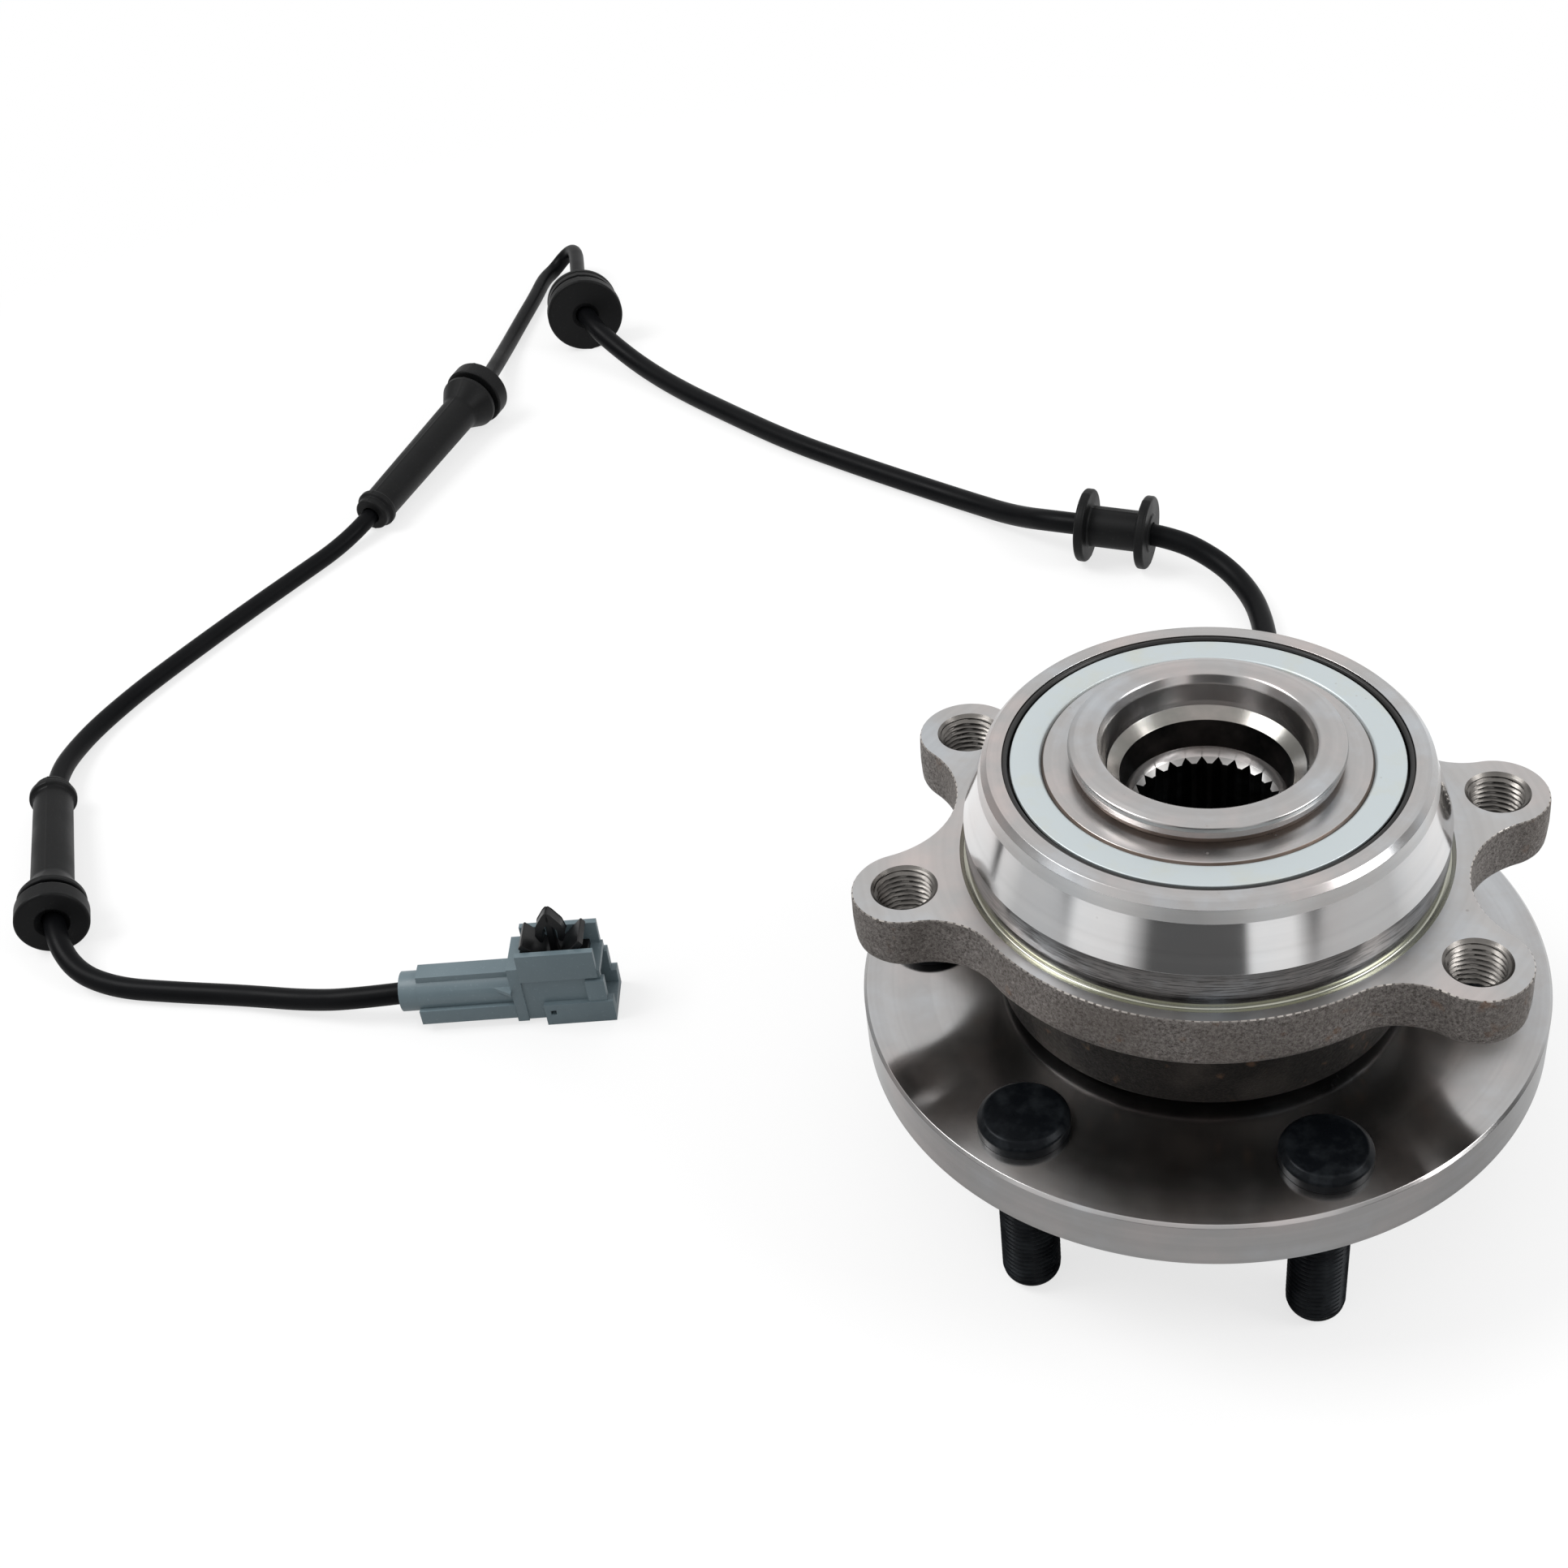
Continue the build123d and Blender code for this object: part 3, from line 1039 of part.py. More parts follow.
with BuildPart() as sensor_lead:
    with BuildLine() as lead_path:
        FilletPolyline(*lead_points, radius=lead_radii)
    with BuildSketch(Plane(origin=lead_path.line @ 0, z_dir=lead_path.line % 0)):
        Circle(LEAD_RADIUS)
    sweep()
sensor_lead.part.label = "sensor_lead"
export_step(sensor_lead.part, "parts/sensor_lead.step")
report_cable("bare lead", lead_path.line, sensor_lead.part, LEAD_RADIUS, lead_radii)


def lathe_plane(origin, towards):
    """Plane whose Y axis runs from the origin towards the other point, for turned profiles."""
    axis_direction = (Vector(towards) - Vector(origin)).normalized()
    side = axis_direction.cross(Vector(0, 0, 1)).normalized()
    return Plane(origin=origin, x_dir=side, z_dir=side.cross(axis_direction))


# Spool grommet: two discs on a barrel
SPOOL_PLANE = lathe_plane(SPOOL_CENTRE, SPOOL_BACK)
spool_half = (SPOOL_DISC_SPACING + SPOOL_DISC_THICKNESS) / 2
spool_inside = (SPOOL_DISC_SPACING - SPOOL_DISC_THICKNESS) / 2

with BuildPart() as spool_grommet:
    with BuildSketch(SPOOL_PLANE):
        with BuildLine():
            Polyline(
                (SHEATH_RADIUS, -spool_half),
                (SPOOL_DISC_RADIUS, -spool_half),
                (SPOOL_DISC_RADIUS, -spool_inside),
                (SPOOL_BARREL_RADIUS, -spool_inside),
                (SPOOL_BARREL_RADIUS, spool_inside),
                (SPOOL_DISC_RADIUS, spool_inside),
                (SPOOL_DISC_RADIUS, spool_half),
                (SHEATH_RADIUS, spool_half),
                close=True,
            )
        make_face()
    revolve(axis=Axis(SPOOL_PLANE.origin, SPOOL_PLANE.y_dir))
    rims = spool_grommet.edges().filter_by(GeomType.CIRCLE).group_by(SortBy.RADIUS)[-1]
    fillet(rims, SPOOL_EDGE_ROUND)
spool_grommet.part.label = "spool_grommet"
export_step(spool_grommet.part, "parts/spool_grommet.step")

# Round grommet, where the sheath ends and the bare lead starts
ROUND_PLANE = lathe_plane(ROUND_FACE, ROUND_BACK)
round_groove_start = ROUND_HEAD_THICKNESS
round_groove_end = ROUND_HEAD_THICKNESS + ROUND_GROOVE_WIDTH
round_length = round_groove_end + ROUND_TAIL_THICKNESS
sheath_depth = (Vector(LEAD_ROUTE[0]) - Vector(ROUND_FACE)).length

with BuildPart() as round_grommet:
    with BuildSketch(ROUND_PLANE):
        with BuildLine():
            Polyline(
                (SHEATH_RADIUS, 0),
                (ROUND_HEAD_RADIUS, 0),
                (ROUND_HEAD_RADIUS, round_groove_start),
                (ROUND_GROOVE_RADIUS, round_groove_start),
                (ROUND_GROOVE_RADIUS, round_groove_end),
                (ROUND_TAIL_RADIUS, round_groove_end),
                (ROUND_TAIL_RADIUS, round_length),
                (LEAD_RADIUS, round_length),
                (LEAD_RADIUS, sheath_depth),
                (SHEATH_RADIUS, sheath_depth),
                close=True,
            )
        make_face()
    revolve(axis=Axis(ROUND_PLANE.origin, ROUND_PLANE.y_dir))
    head_rims = round_grommet.edges().filter_by(GeomType.CIRCLE).group_by(SortBy.RADIUS)[-1]
    fillet(head_rims, ROUND_EDGE_ROUND)
round_grommet.part.label = "round_grommet"
export_step(round_grommet.part, "parts/round_grommet.step")


def draw_sleeve(plane, length, head, flange_radius, root_radius, tip_radius, bead_radius):
    """Half outline of a sleeve grommet, on a plane whose Y axis is the sleeve's."""
    head_radius, head_thickness = head
    flange_start = head_thickness + SLEEVE_GROOVE_WIDTH
    cone_start = flange_start + SLEEVE_FLANGE_THICKNESS
    bead_start = length - SLEEVE_TAIL_LENGTH - SLEEVE_BEAD_WIDTH
    bead_end = length - SLEEVE_TAIL_LENGTH
    with BuildSketch(plane) as outline:
        with BuildLine():
            Polyline(
                (LEAD_RADIUS, SLEEVE_MOUTH_DEPTH),
                (SLEEVE_MOUTH_RADIUS, 0),
                (head_radius, 0),
                (head_radius, head_thickness),
                (SLEEVE_GROOVE_RADIUS, head_thickness),
                (SLEEVE_GROOVE_RADIUS, flange_start),
                (flange_radius, flange_start),
                (flange_radius, cone_start),
                (root_radius, cone_start + SLEEVE_CONE_LENGTH),
                (tip_radius, bead_start),
                (bead_radius, bead_start + SLEEVE_BEAD_WIDTH / 4),
                (bead_radius, bead_end - SLEEVE_BEAD_WIDTH / 4),
                (tip_radius, bead_end),
                (tip_radius, length),
                (LEAD_RADIUS, length),
                close=True,
            )
        make_face()
    return outline.sketch


UPPER_SLEEVE_PLANE = lathe_plane(UPPER_SLEEVE_HEAD, UPPER_SLEEVE_TAIL)
LOWER_SLEEVE_PLANE = lathe_plane(LOWER_SLEEVE_HEAD, LOWER_SLEEVE_TAIL)

with BuildPart() as sleeve_grommet_upper:
    outline = draw_sleeve(
        UPPER_SLEEVE_PLANE,
        UPPER_SLEEVE_LENGTH,
        (UPPER_SLEEVE_HEAD_RADIUS, UPPER_SLEEVE_HEAD_THICKNESS),
        UPPER_SLEEVE_FLANGE_RADIUS,
        UPPER_SLEEVE_ROOT_RADIUS,
        UPPER_SLEEVE_TIP_RADIUS,
        UPPER_SLEEVE_BEAD_RADIUS,
    )
    revolve(outline, axis=Axis(UPPER_SLEEVE_PLANE.origin, UPPER_SLEEVE_PLANE.y_dir))
sleeve_grommet_upper.part.label = "sleeve_grommet_upper"
export_step(sleeve_grommet_upper.part, "parts/sleeve_grommet_upper.step")

with BuildPart() as sleeve_grommet_lower:
    outline = draw_sleeve(
        LOWER_SLEEVE_PLANE,
        LOWER_SLEEVE_LENGTH,
        (LOWER_SLEEVE_HEAD_RADIUS, LOWER_SLEEVE_HEAD_THICKNESS),
        LOWER_SLEEVE_FLANGE_RADIUS,
        LOWER_SLEEVE_ROOT_RADIUS,
        LOWER_SLEEVE_TIP_RADIUS,
        LOWER_SLEEVE_BEAD_RADIUS,
    )
    revolve(outline, axis=Axis(LOWER_SLEEVE_PLANE.origin, LOWER_SLEEVE_PLANE.y_dir))
sleeve_grommet_lower.part.label = "sleeve_grommet_lower"
export_step(sleeve_grommet_lower.part, "parts/sleeve_grommet_lower.step")


def cross_section(start, width, bottom, top, middle=0.0):
    """Rectangle across the connector at this place on its axis."""
    with BuildSketch(CONNECTOR_PLANE.offset(start)) as section:
        with Locations((middle, (bottom + top) / 2)):
            Rectangle(width, top - bottom)
    return section.sketch


# Connector housing: collar, ribbed stem, back plate, body, clip rails and keel
rail_middle = RAIL_OUTER - RAIL_WIDTH / 2
rail_start = BACK_PLATE_END

with BuildPart() as connector_housing:
    with BuildSketch(CONNECTOR_PLANE):
        Circle(COLLAR_RADIUS)
    extrude(amount=COLLAR_LENGTH)
    with BuildSketch(CONNECTOR_PLANE.offset(COLLAR_LENGTH)):
        Circle(STEM_RADIUS)
    extrude(amount=STEM_END - COLLAR_LENGTH)
    stem_rib = cross_section(COLLAR_LENGTH, STEM_RIB_WIDTH, 0, STEM_RIB_REACH)
    extrude(stem_rib, amount=STEM_END - COLLAR_LENGTH)
    stem_keel = cross_section(COLLAR_LENGTH, STEM_KEEL_WIDTH, STEM_KEEL_BOTTOM, STEM_KEEL_TOP)
    extrude(stem_keel, amount=STEM_END - COLLAR_LENGTH)
    back_plate = cross_section(STEM_END, BACK_PLATE_WIDTH, BACK_PLATE_BOTTOM, BACK_PLATE_TOP)
    extrude(back_plate, amount=BACK_PLATE_END - STEM_END)
    body = cross_section(BACK_PLATE_END, BODY_WIDTH, BODY_BOTTOM, BODY_TOP)
    extrude(body, amount=BODY_END - BACK_PLATE_END)
    for rail_side in (rail_middle, -rail_middle):
        rail = cross_section(rail_start, RAIL_WIDTH, RAIL_BOTTOM, RAIL_TOP, rail_side)
        extrude(rail, amount=RAIL_END - rail_start)
    keel = cross_section(KEEL_START, KEEL_WIDTH, KEEL_BOTTOM, KEEL_TOP)
    extrude(keel, amount=KEEL_END - KEEL_START)
    tab = cross_section(TAB_START, TAB_WIDTH, TAB_BOTTOM, TAB_TOP)
    extrude(tab, amount=TAB_END - TAB_START)
    gusset_origin = CONNECTOR_PLANE.from_local_coords((0, GUSSET_HEIGHT, 0))
    with BuildSketch(Plane(gusset_origin, x_dir=CONNECTOR_PLANE.x_dir, z_dir=(0, 0, 1))):
        with BuildLine():
            Polyline(
                (-GUSSET_REACH, -STEM_END),
                (-GUSSET_TIP_REACH, GUSSET_LENGTH - STEM_END),
                (GUSSET_TIP_REACH, GUSSET_LENGTH - STEM_END),
                (GUSSET_REACH, -STEM_END),
                close=True,
            )
        make_face()
    extrude(amount=GUSSET_THICKNESS)
    mouth = cross_section(MOUTH_START, MOUTH_WIDTH, MOUTH_BOTTOM, MOUTH_TOP)
    extrude(mouth, amount=KEEL_END - MOUTH_START, mode=Mode.SUBTRACT)
    slot_end = KEEL_START + 2 * KEEL_SLOT_LENGTH
    slot_start = slot_end - KEEL_SLOT_LENGTH
    slot_middle_y = (KEEL_TOP + KEEL_BOTTOM) / 2
    slot = cross_section(slot_start, 2 * KEEL_WIDTH, slot_middle_y, slot_middle_y + KEEL_SLOT_LENGTH)
    extrude(slot, amount=KEEL_SLOT_LENGTH, mode=Mode.SUBTRACT)
    with BuildSketch(CONNECTOR_PLANE):
        Circle(LEAD_RADIUS)
    extrude(amount=WIRE_BORE_DEPTH, mode=Mode.SUBTRACT)
    with BuildSketch(CONNECTOR_PLANE.offset(WIRE_SEAL_START)):
        Circle(WIRE_SEAL_RADIUS)
    extrude(amount=WIRE_SEAL_LENGTH, mode=Mode.SUBTRACT)
    with BuildSketch(CONNECTOR_PLANE.offset(TERMINAL_START)):
        with GridLocations(TERMINAL_SPACING, 0, 2, 1):
            Rectangle(TERMINAL_WIDTH, TERMINAL_HEIGHT)
    extrude(amount=MOUTH_START - TERMINAL_START, mode=Mode.SUBTRACT)
connector_housing.part.label = "connector_housing"
export_step(connector_housing.part, "parts/connector_housing.step")

with BuildPart() as connector_wire_seal:
    with BuildSketch(CONNECTOR_PLANE.offset(WIRE_SEAL_START)):
        Circle(WIRE_SEAL_RADIUS)
        Circle(LEAD_RADIUS, mode=Mode.SUBTRACT)
    extrude(amount=WIRE_SEAL_LENGTH)
connector_wire_seal.part.label = "connector_wire_seal"
export_step(connector_wire_seal.part, "parts/connector_wire_seal.step")

with BuildPart() as connector_terminals:
    with BuildSketch(CONNECTOR_PLANE.offset(TERMINAL_START)):
        with GridLocations(TERMINAL_SPACING, 0, 2, 1):
            Rectangle(TERMINAL_WIDTH, TERMINAL_HEIGHT)
    extrude(amount=TERMINAL_END - TERMINAL_START)
connector_terminals.part.label = "connector_terminals"
export_step(connector_terminals.part, "parts/connector_terminals.step")

# Clip: base with two sprung wings, and an arrow head on a stem.
# The side plane's X axis runs along the connector and its Y axis is up.
clip_half_width = RAIL_OUTER - RAIL_WIDTH - CLIP_GAP
clip_middle = (CLIP_START + CLIP_END) / 2
clip_base_z = BODY_TOP + CLIP_BASE_THICKNESS
CLIP_PLANE = Plane(
    origin=CONNECTOR_PLANE.from_local_coords((0, 0, clip_middle)),
    x_dir=connector_axis,
    z_dir=-CONNECTOR_PLANE.x_dir,
)
half_clip = (CLIP_END - CLIP_START) / 2
half_stem = CLIP_STEM_WIDTH / 2

with BuildPart() as connector_clip:
    with BuildSketch(CLIP_PLANE):
        with BuildLine():
            Polyline(
                (-half_clip, BODY_TOP),
                (half_clip, BODY_TOP),
                (half_clip, clip_base_z),
                (half_stem + CLIP_WING_THICKNESS, clip_base_z),
                (half_clip, clip_base_z + CLIP_WING_RISE),
                (half_clip - CLIP_WING_THICKNESS, clip_base_z + CLIP_WING_RISE + CLIP_WING_THICKNESS / 2),
                (half_stem, clip_base_z + CLIP_WING_THICKNESS / 2),
                (-half_stem, clip_base_z + CLIP_WING_THICKNESS / 2),
                (CLIP_WING_THICKNESS - half_clip, clip_base_z + CLIP_WING_RISE + CLIP_WING_THICKNESS / 2),
                (-half_clip, clip_base_z + CLIP_WING_RISE),
                (-half_stem - CLIP_WING_THICKNESS, clip_base_z),
                (-half_clip, clip_base_z),
                close=True,
            )
        make_face()
    extrude(amount=clip_half_width, both=True)
    with BuildSketch(CLIP_PLANE):
        with BuildLine():
            Polyline(
                (half_stem, BODY_TOP),
                (half_stem, BODY_TOP + CLIP_ARM_ROOT_HEIGHT),
                (CLIP_ARM_END_REACH, BODY_TOP + CLIP_ARM_END_HEIGHT),
                (CLIP_BARB_REACH, BODY_TOP + CLIP_BARB_HEIGHT),
                (0, BODY_TOP + CLIP_TIP_HEIGHT),
                (-CLIP_BARB_REACH, BODY_TOP + CLIP_BARB_HEIGHT),
                (-CLIP_ARM_END_REACH, BODY_TOP + CLIP_ARM_END_HEIGHT),
                (-half_stem, BODY_TOP + CLIP_ARM_ROOT_HEIGHT),
                (-half_stem, BODY_TOP),
                close=True,
            )
        make_face()
    extrude(amount=CLIP_ARROW_WIDTH / 2, both=True)
connector_clip.part.label = "connector_clip"
export_step(connector_clip.part, "parts/connector_clip.step")
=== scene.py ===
"""Wheel hub bearing with its wheel speed sensor: surfaces, finishes, studio and camera.

Sizes of the pieces and the camera's place are in millimetres, as on a drawing, and meshes are
written in metres. Finishes, the floor and the lamps are in metres. The bearing axis is Z, the part
stands on its stud tips at Z = 0, and the sensor points along +Y.
"""

import logging
import math
from collections.abc import Callable, Sequence
from dataclasses import dataclass, field, replace
from enum import Enum
from functools import cache

import bmesh
import bpy
import numpy as np
from mathutils import Matrix, Vector
from mathutils.geometry import delaunay_2d_cdt


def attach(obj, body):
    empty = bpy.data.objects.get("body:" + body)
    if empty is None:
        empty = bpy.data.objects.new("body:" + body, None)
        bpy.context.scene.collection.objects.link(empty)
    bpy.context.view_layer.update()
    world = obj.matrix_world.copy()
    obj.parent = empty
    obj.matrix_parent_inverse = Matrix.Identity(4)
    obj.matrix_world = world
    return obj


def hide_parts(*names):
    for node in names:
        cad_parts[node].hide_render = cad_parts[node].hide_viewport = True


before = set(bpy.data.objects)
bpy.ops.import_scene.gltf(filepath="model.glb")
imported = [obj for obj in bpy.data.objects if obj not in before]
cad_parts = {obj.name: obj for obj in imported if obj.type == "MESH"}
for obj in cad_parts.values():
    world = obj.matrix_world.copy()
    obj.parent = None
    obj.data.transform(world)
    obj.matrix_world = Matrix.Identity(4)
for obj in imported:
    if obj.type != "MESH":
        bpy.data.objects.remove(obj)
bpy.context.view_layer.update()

LOG = logging.getLogger("hub_bearing")
MM = 0.001
FULL_TURN = 2.0 * math.pi
ACROSS_THE_MARKS = 0.25  # of a turn: the highlight spreads across the ring marks
MERGE_DISTANCE = 1e-4  # millimetres
SUPPORT = 0.12  # millimetres from the end of a flat stretch to its support point
ARC_STEPS = 5
SIDE_SHARE = 0.48  # the most of a profile's side that one corner's arc may take

Point = tuple[float, float, float]
Colour = tuple[float, float, float, float]
Socket = bpy.types.NodeSocket
Material = bpy.types.Material
Piece = bpy.types.Object

WHITE: Colour = (1.0, 1.0, 1.0, 1.0)
BLACK: Colour = (0.0, 0.0, 0.0, 1.0)
RUST: Colour = (0.09, 0.035, 0.015, 1.0)


class Body(Enum):
    """Moving bodies that a new piece can ride on."""

    HOUSING = "bearing_housing"
    HUB = "hub"


# Node graphs


class Graph:
    """Adds and joins the nodes of one tree with short words."""

    def __init__(self, tree: bpy.types.NodeTree) -> None:
        """Keeps the tree that the nodes go into."""
        self.tree = tree

    def fill(self, node: bpy.types.Node, **inputs) -> None:
        """Links or sets a node's sockets.

        Args:
            node: the node.
            inputs: sockets or plain values, by name with _ for a space, or n0, n1 by place.
        """
        for key, value in inputs.items():
            by_place = key[0] == "n" and key[1:].isdigit()
            socket = node.inputs[int(key[1:]) if by_place else key.replace("_", " ")]
            if isinstance(value, Socket):
                self.tree.links.new(value, socket)
            else:
                socket.default_value = value

    def add(self, kind: str, settings: dict | None = None, **inputs) -> bpy.types.Node:
        """Adds a shader node.

        Args:
            kind: the node's class name after ShaderNode.
            settings: properties of the node itself.
            inputs: as in fill.

        Returns:
            The node.
        """
        node = self.tree.nodes.new("ShaderNode" + kind)
        for key, value in (settings or {}).items():
            setattr(node, key, value)
        self.fill(node, **inputs)
        return node

    def math(self, operation: str, first, second=0.0, clamp: bool = False) -> Socket:
        """Result of a Math node on two values."""
        settings = {"operation": operation, "use_clamp": clamp}
        return self.add("Math", settings, n0=first, n1=second).outputs[0]

    def vector(self, operation: str, first, second=(0.0, 0.0, 0.0)) -> Socket:
        """Result of a Vector Math node: a number for a length or a dot product, else a vector."""
        node = self.add("VectorMath", {"operation": operation}, n0=first, n1=second)
        return node.outputs[int(operation in ("LENGTH", "DISTANCE", "DOT_PRODUCT"))]

    def mix(self, factor, first, second) -> Socket:
        """Colour between two colours."""
        return self.add("Mix", {"data_type": "RGBA"}, n0=factor, n6=first, n7=second).outputs[2]

    def blend(self, factor, first, second) -> Socket:
        """Number between two numbers."""
        return self.add("Mix", {"data_type": "FLOAT"}, n0=factor, n2=first, n3=second).outputs[0]

    def remap(self, value, low: float, high: float, to_low=0.0, to_high=1.0) -> Socket:
        """Value carried from one range to another, held at its ends."""
        return self.add("MapRange", n0=value, n1=low, n2=high, n3=to_low, n4=to_high).outputs[0]

    def ramp(self, value, stops: Sequence[tuple[float, float]]) -> Socket:
        """Grey level that runs in straight lines between stops.

        Args:
            value: the place on the ramp.
            stops: place and level of each stop, in order.

        Returns:
            The level.
        """
        node = self.add("ValToRGB", n0=value)
        elements = node.color_ramp.elements
        for place, _ in stops[1:-1]:
            elements.new(place)
        for element, (place, level) in zip(elements, stops):
            element.position = place
            element.color = (level, level, level, 1.0)
        return node.outputs[0]

    def noise(self, scale, detail: float, vector, rough: float = 0.5) -> Socket:
        """Value of a noise of this many waves per metre."""
        inputs = {"Scale": scale, "Detail": detail, "Vector": vector, "Roughness": rough}
        return self.add("TexNoise", **inputs).outputs[0]

    def place(self) -> Socket:
        """Point of the surface in the piece's own frame."""
        return self.add("TexCoord").outputs["Object"]

    def bump(self, height, distance: float, strength: float = 1.0) -> Socket:
        """Normal of a surface raised by a height of up to this many metres."""
        return self.add("Bump", Strength=strength, Distance=distance, Height=height).outputs[0]

    def group(self, tree: bpy.types.NodeTree, **inputs) -> bpy.types.NodeOutputs:
        """Outputs of a node group placed with these inputs."""
        return self.add("Group", {"node_tree": tree}, **inputs).outputs


def shared_group(
    name: str,
    inputs: dict[str, float | Colour],
    outputs: Sequence[str],
    body: Callable[[Graph, bpy.types.NodeOutputs], Sequence[Socket]],
) -> bpy.types.NodeTree:
    """Builds a node group once.

    Args:
        name: the group's name.
        inputs: each input's name and default, a number or a colour.
        outputs: each output's name. Color is a colour and the others are numbers.
        body: fills the group from its inputs and gives a socket for each output.

    Returns:
        The group, or the one made earlier.
    """
    if name in bpy.data.node_groups:
        return bpy.data.node_groups[name]
    tree = bpy.data.node_groups.new(name, "ShaderNodeTree")
    for label, default in inputs.items():
        kind = "NodeSocketFloat" if isinstance(default, float) else "NodeSocketColor"
        socket = tree.interface.new_socket(label, in_out="INPUT", socket_type=kind)
        socket.default_value = default
    for label in outputs:
        kind = "NodeSocketColor" if label == "Color" else "NodeSocketFloat"
        tree.interface.new_socket(label, in_out="OUTPUT", socket_type=kind)
    given = tree.nodes.new("NodeGroupInput")
    result = tree.nodes.new("NodeGroupOutput")
    for label, socket in zip(outputs, body(Graph(tree), given.outputs)):
        tree.links.new(socket, result.inputs[label])
    return tree


def turning_marks() -> bpy.types.NodeTree:
    """Lathe marks round the bearing axis.

    A noise is read at (radius, height), so it is the same all round: rings on flats and
    rings on cylinders. A slow noise in space fades the marks here and there.

    Returns:
        The node group.
    """

    def body(graph: Graph, given: bpy.types.NodeOutputs) -> Sequence[Socket]:
        """Fills the group.

        Args:
            graph: the group's graph.
            given: its inputs.

        Returns:
            Height of the marks, and a broader noise for streaks.
        """
        place = graph.place()
        parts = graph.add("SeparateXYZ", n0=place).outputs
        flat = graph.add("CombineXYZ", n0=parts[0], n1=parts[1]).outputs[0]
        radius = graph.vector("LENGTH", flat)
        turned = graph.add("CombineXYZ", n0=radius, n1=parts[2]).outputs[0]
        fade = graph.remap(graph.noise(60.0, 2.0, place), 0.3, 0.7, 0.55, 1.0)
        height = graph.math("MULTIPLY", graph.noise(given["Marks"], 2.0, turned), fade)
        return height, graph.noise(420.0, 2.0, turned)

    return shared_group("Turning marks", {"Marks": 5200.0}, ("Height", "Broad"), body)


def oil_film() -> bpy.types.NodeTree:
    """Thin oil on bare steel: large soft patches of a warm and a cool tint over the base.

    Returns:
        The node group.
    """

    def body(graph: Graph, given: bpy.types.NodeOutputs) -> Sequence[Socket]:
        """Fills the group.

        Args:
            graph: the group's graph.
            given: its inputs.

        Returns:
            Tinted colour, and a smear for the roughness.
        """
        place, amount = graph.place(), given["Amount"]
        patches = graph.noise(38.0, 5.0, place, 0.6)
        warm = graph.math("MULTIPLY", graph.remap(patches, 0.50, 0.68), amount)
        cool = graph.math("MULTIPLY", graph.remap(patches, 0.48, 0.34), amount)
        tinted = graph.mix(warm, given["Base"], (0.66, 0.55, 0.52, 1.0))
        tinted = graph.mix(cool, tinted, (0.56, 0.61, 0.66, 1.0))
        return tinted, graph.remap(graph.noise(170.0, 4.0, place), 0.3, 0.7)

    inputs = {"Base": (0.6, 0.59, 0.58, 1.0), "Amount": 0.5}
    return shared_group("Oil film", inputs, ("Color", "Smear"), body)


def rust_specks() -> bpy.types.NodeTree:
    """Small scattered specks: the middles of random cells, kept where a slow noise is high.

    Returns:
        The node group.
    """

    def body(graph: Graph, given: bpy.types.NodeOutputs) -> Sequence[Socket]:
        """Fills the group.

        Args:
            graph: the group's graph.
            given: its inputs.

        Returns:
            Mask of the specks.
        """
        place = graph.place()
        cells = graph.add("TexVoronoi", Vector=place, Scale=given["Cells"])
        dots = graph.remap(cells.outputs["Distance"], 0.13, 0.07)
        where = graph.remap(graph.noise(70.0, 3.0, place), 0.60, 0.66)
        return (graph.math("MULTIPLY", dots, where),)

    return shared_group("Rust specks", {"Cells": 330.0}, ("Mask",), body)


def fine_grain() -> bpy.types.NodeTree:
    """Moulded grain: a fine noise for height, and a coarser one for light dusty speckle.

    Returns:
        The node group.
    """

    def body(graph: Graph, given: bpy.types.NodeOutputs) -> Sequence[Socket]:
        """Fills the group.

        Args:
            graph: the group's graph.
            given: its inputs.

        Returns:
            Height of the grain, dusty speckle and slow clouds.
        """
        place = graph.place()
        height = graph.noise(given["Grain"], 4.0, place)
        speckle = graph.remap(graph.noise(1500.0, 2.0, place), 0.62, 0.78)
        return height, speckle, graph.remap(graph.noise(90.0, 3.0, place), 0.3, 0.7)

    return shared_group("Fine grain", {"Grain": 2600.0}, ("Height", "Speckle", "Cloud"), body)


# Finishes


def new_material(name: str) -> tuple[Material, Graph, bpy.types.Node]:
    """Empty material with a Principled surface.

    Args:
        name: the material's name.

    Returns:
        The material, its graph and its Principled node.
    """
    material = bpy.data.materials.new(name)
    material.use_nodes = True
    tree = material.node_tree
    return material, Graph(tree), tree.nodes["Principled BSDF"]


def darker(colour: Colour, share: float) -> Colour:
    """Colour times a share, still opaque."""
    return (*(part * share for part in colour[:3]), 1.0)


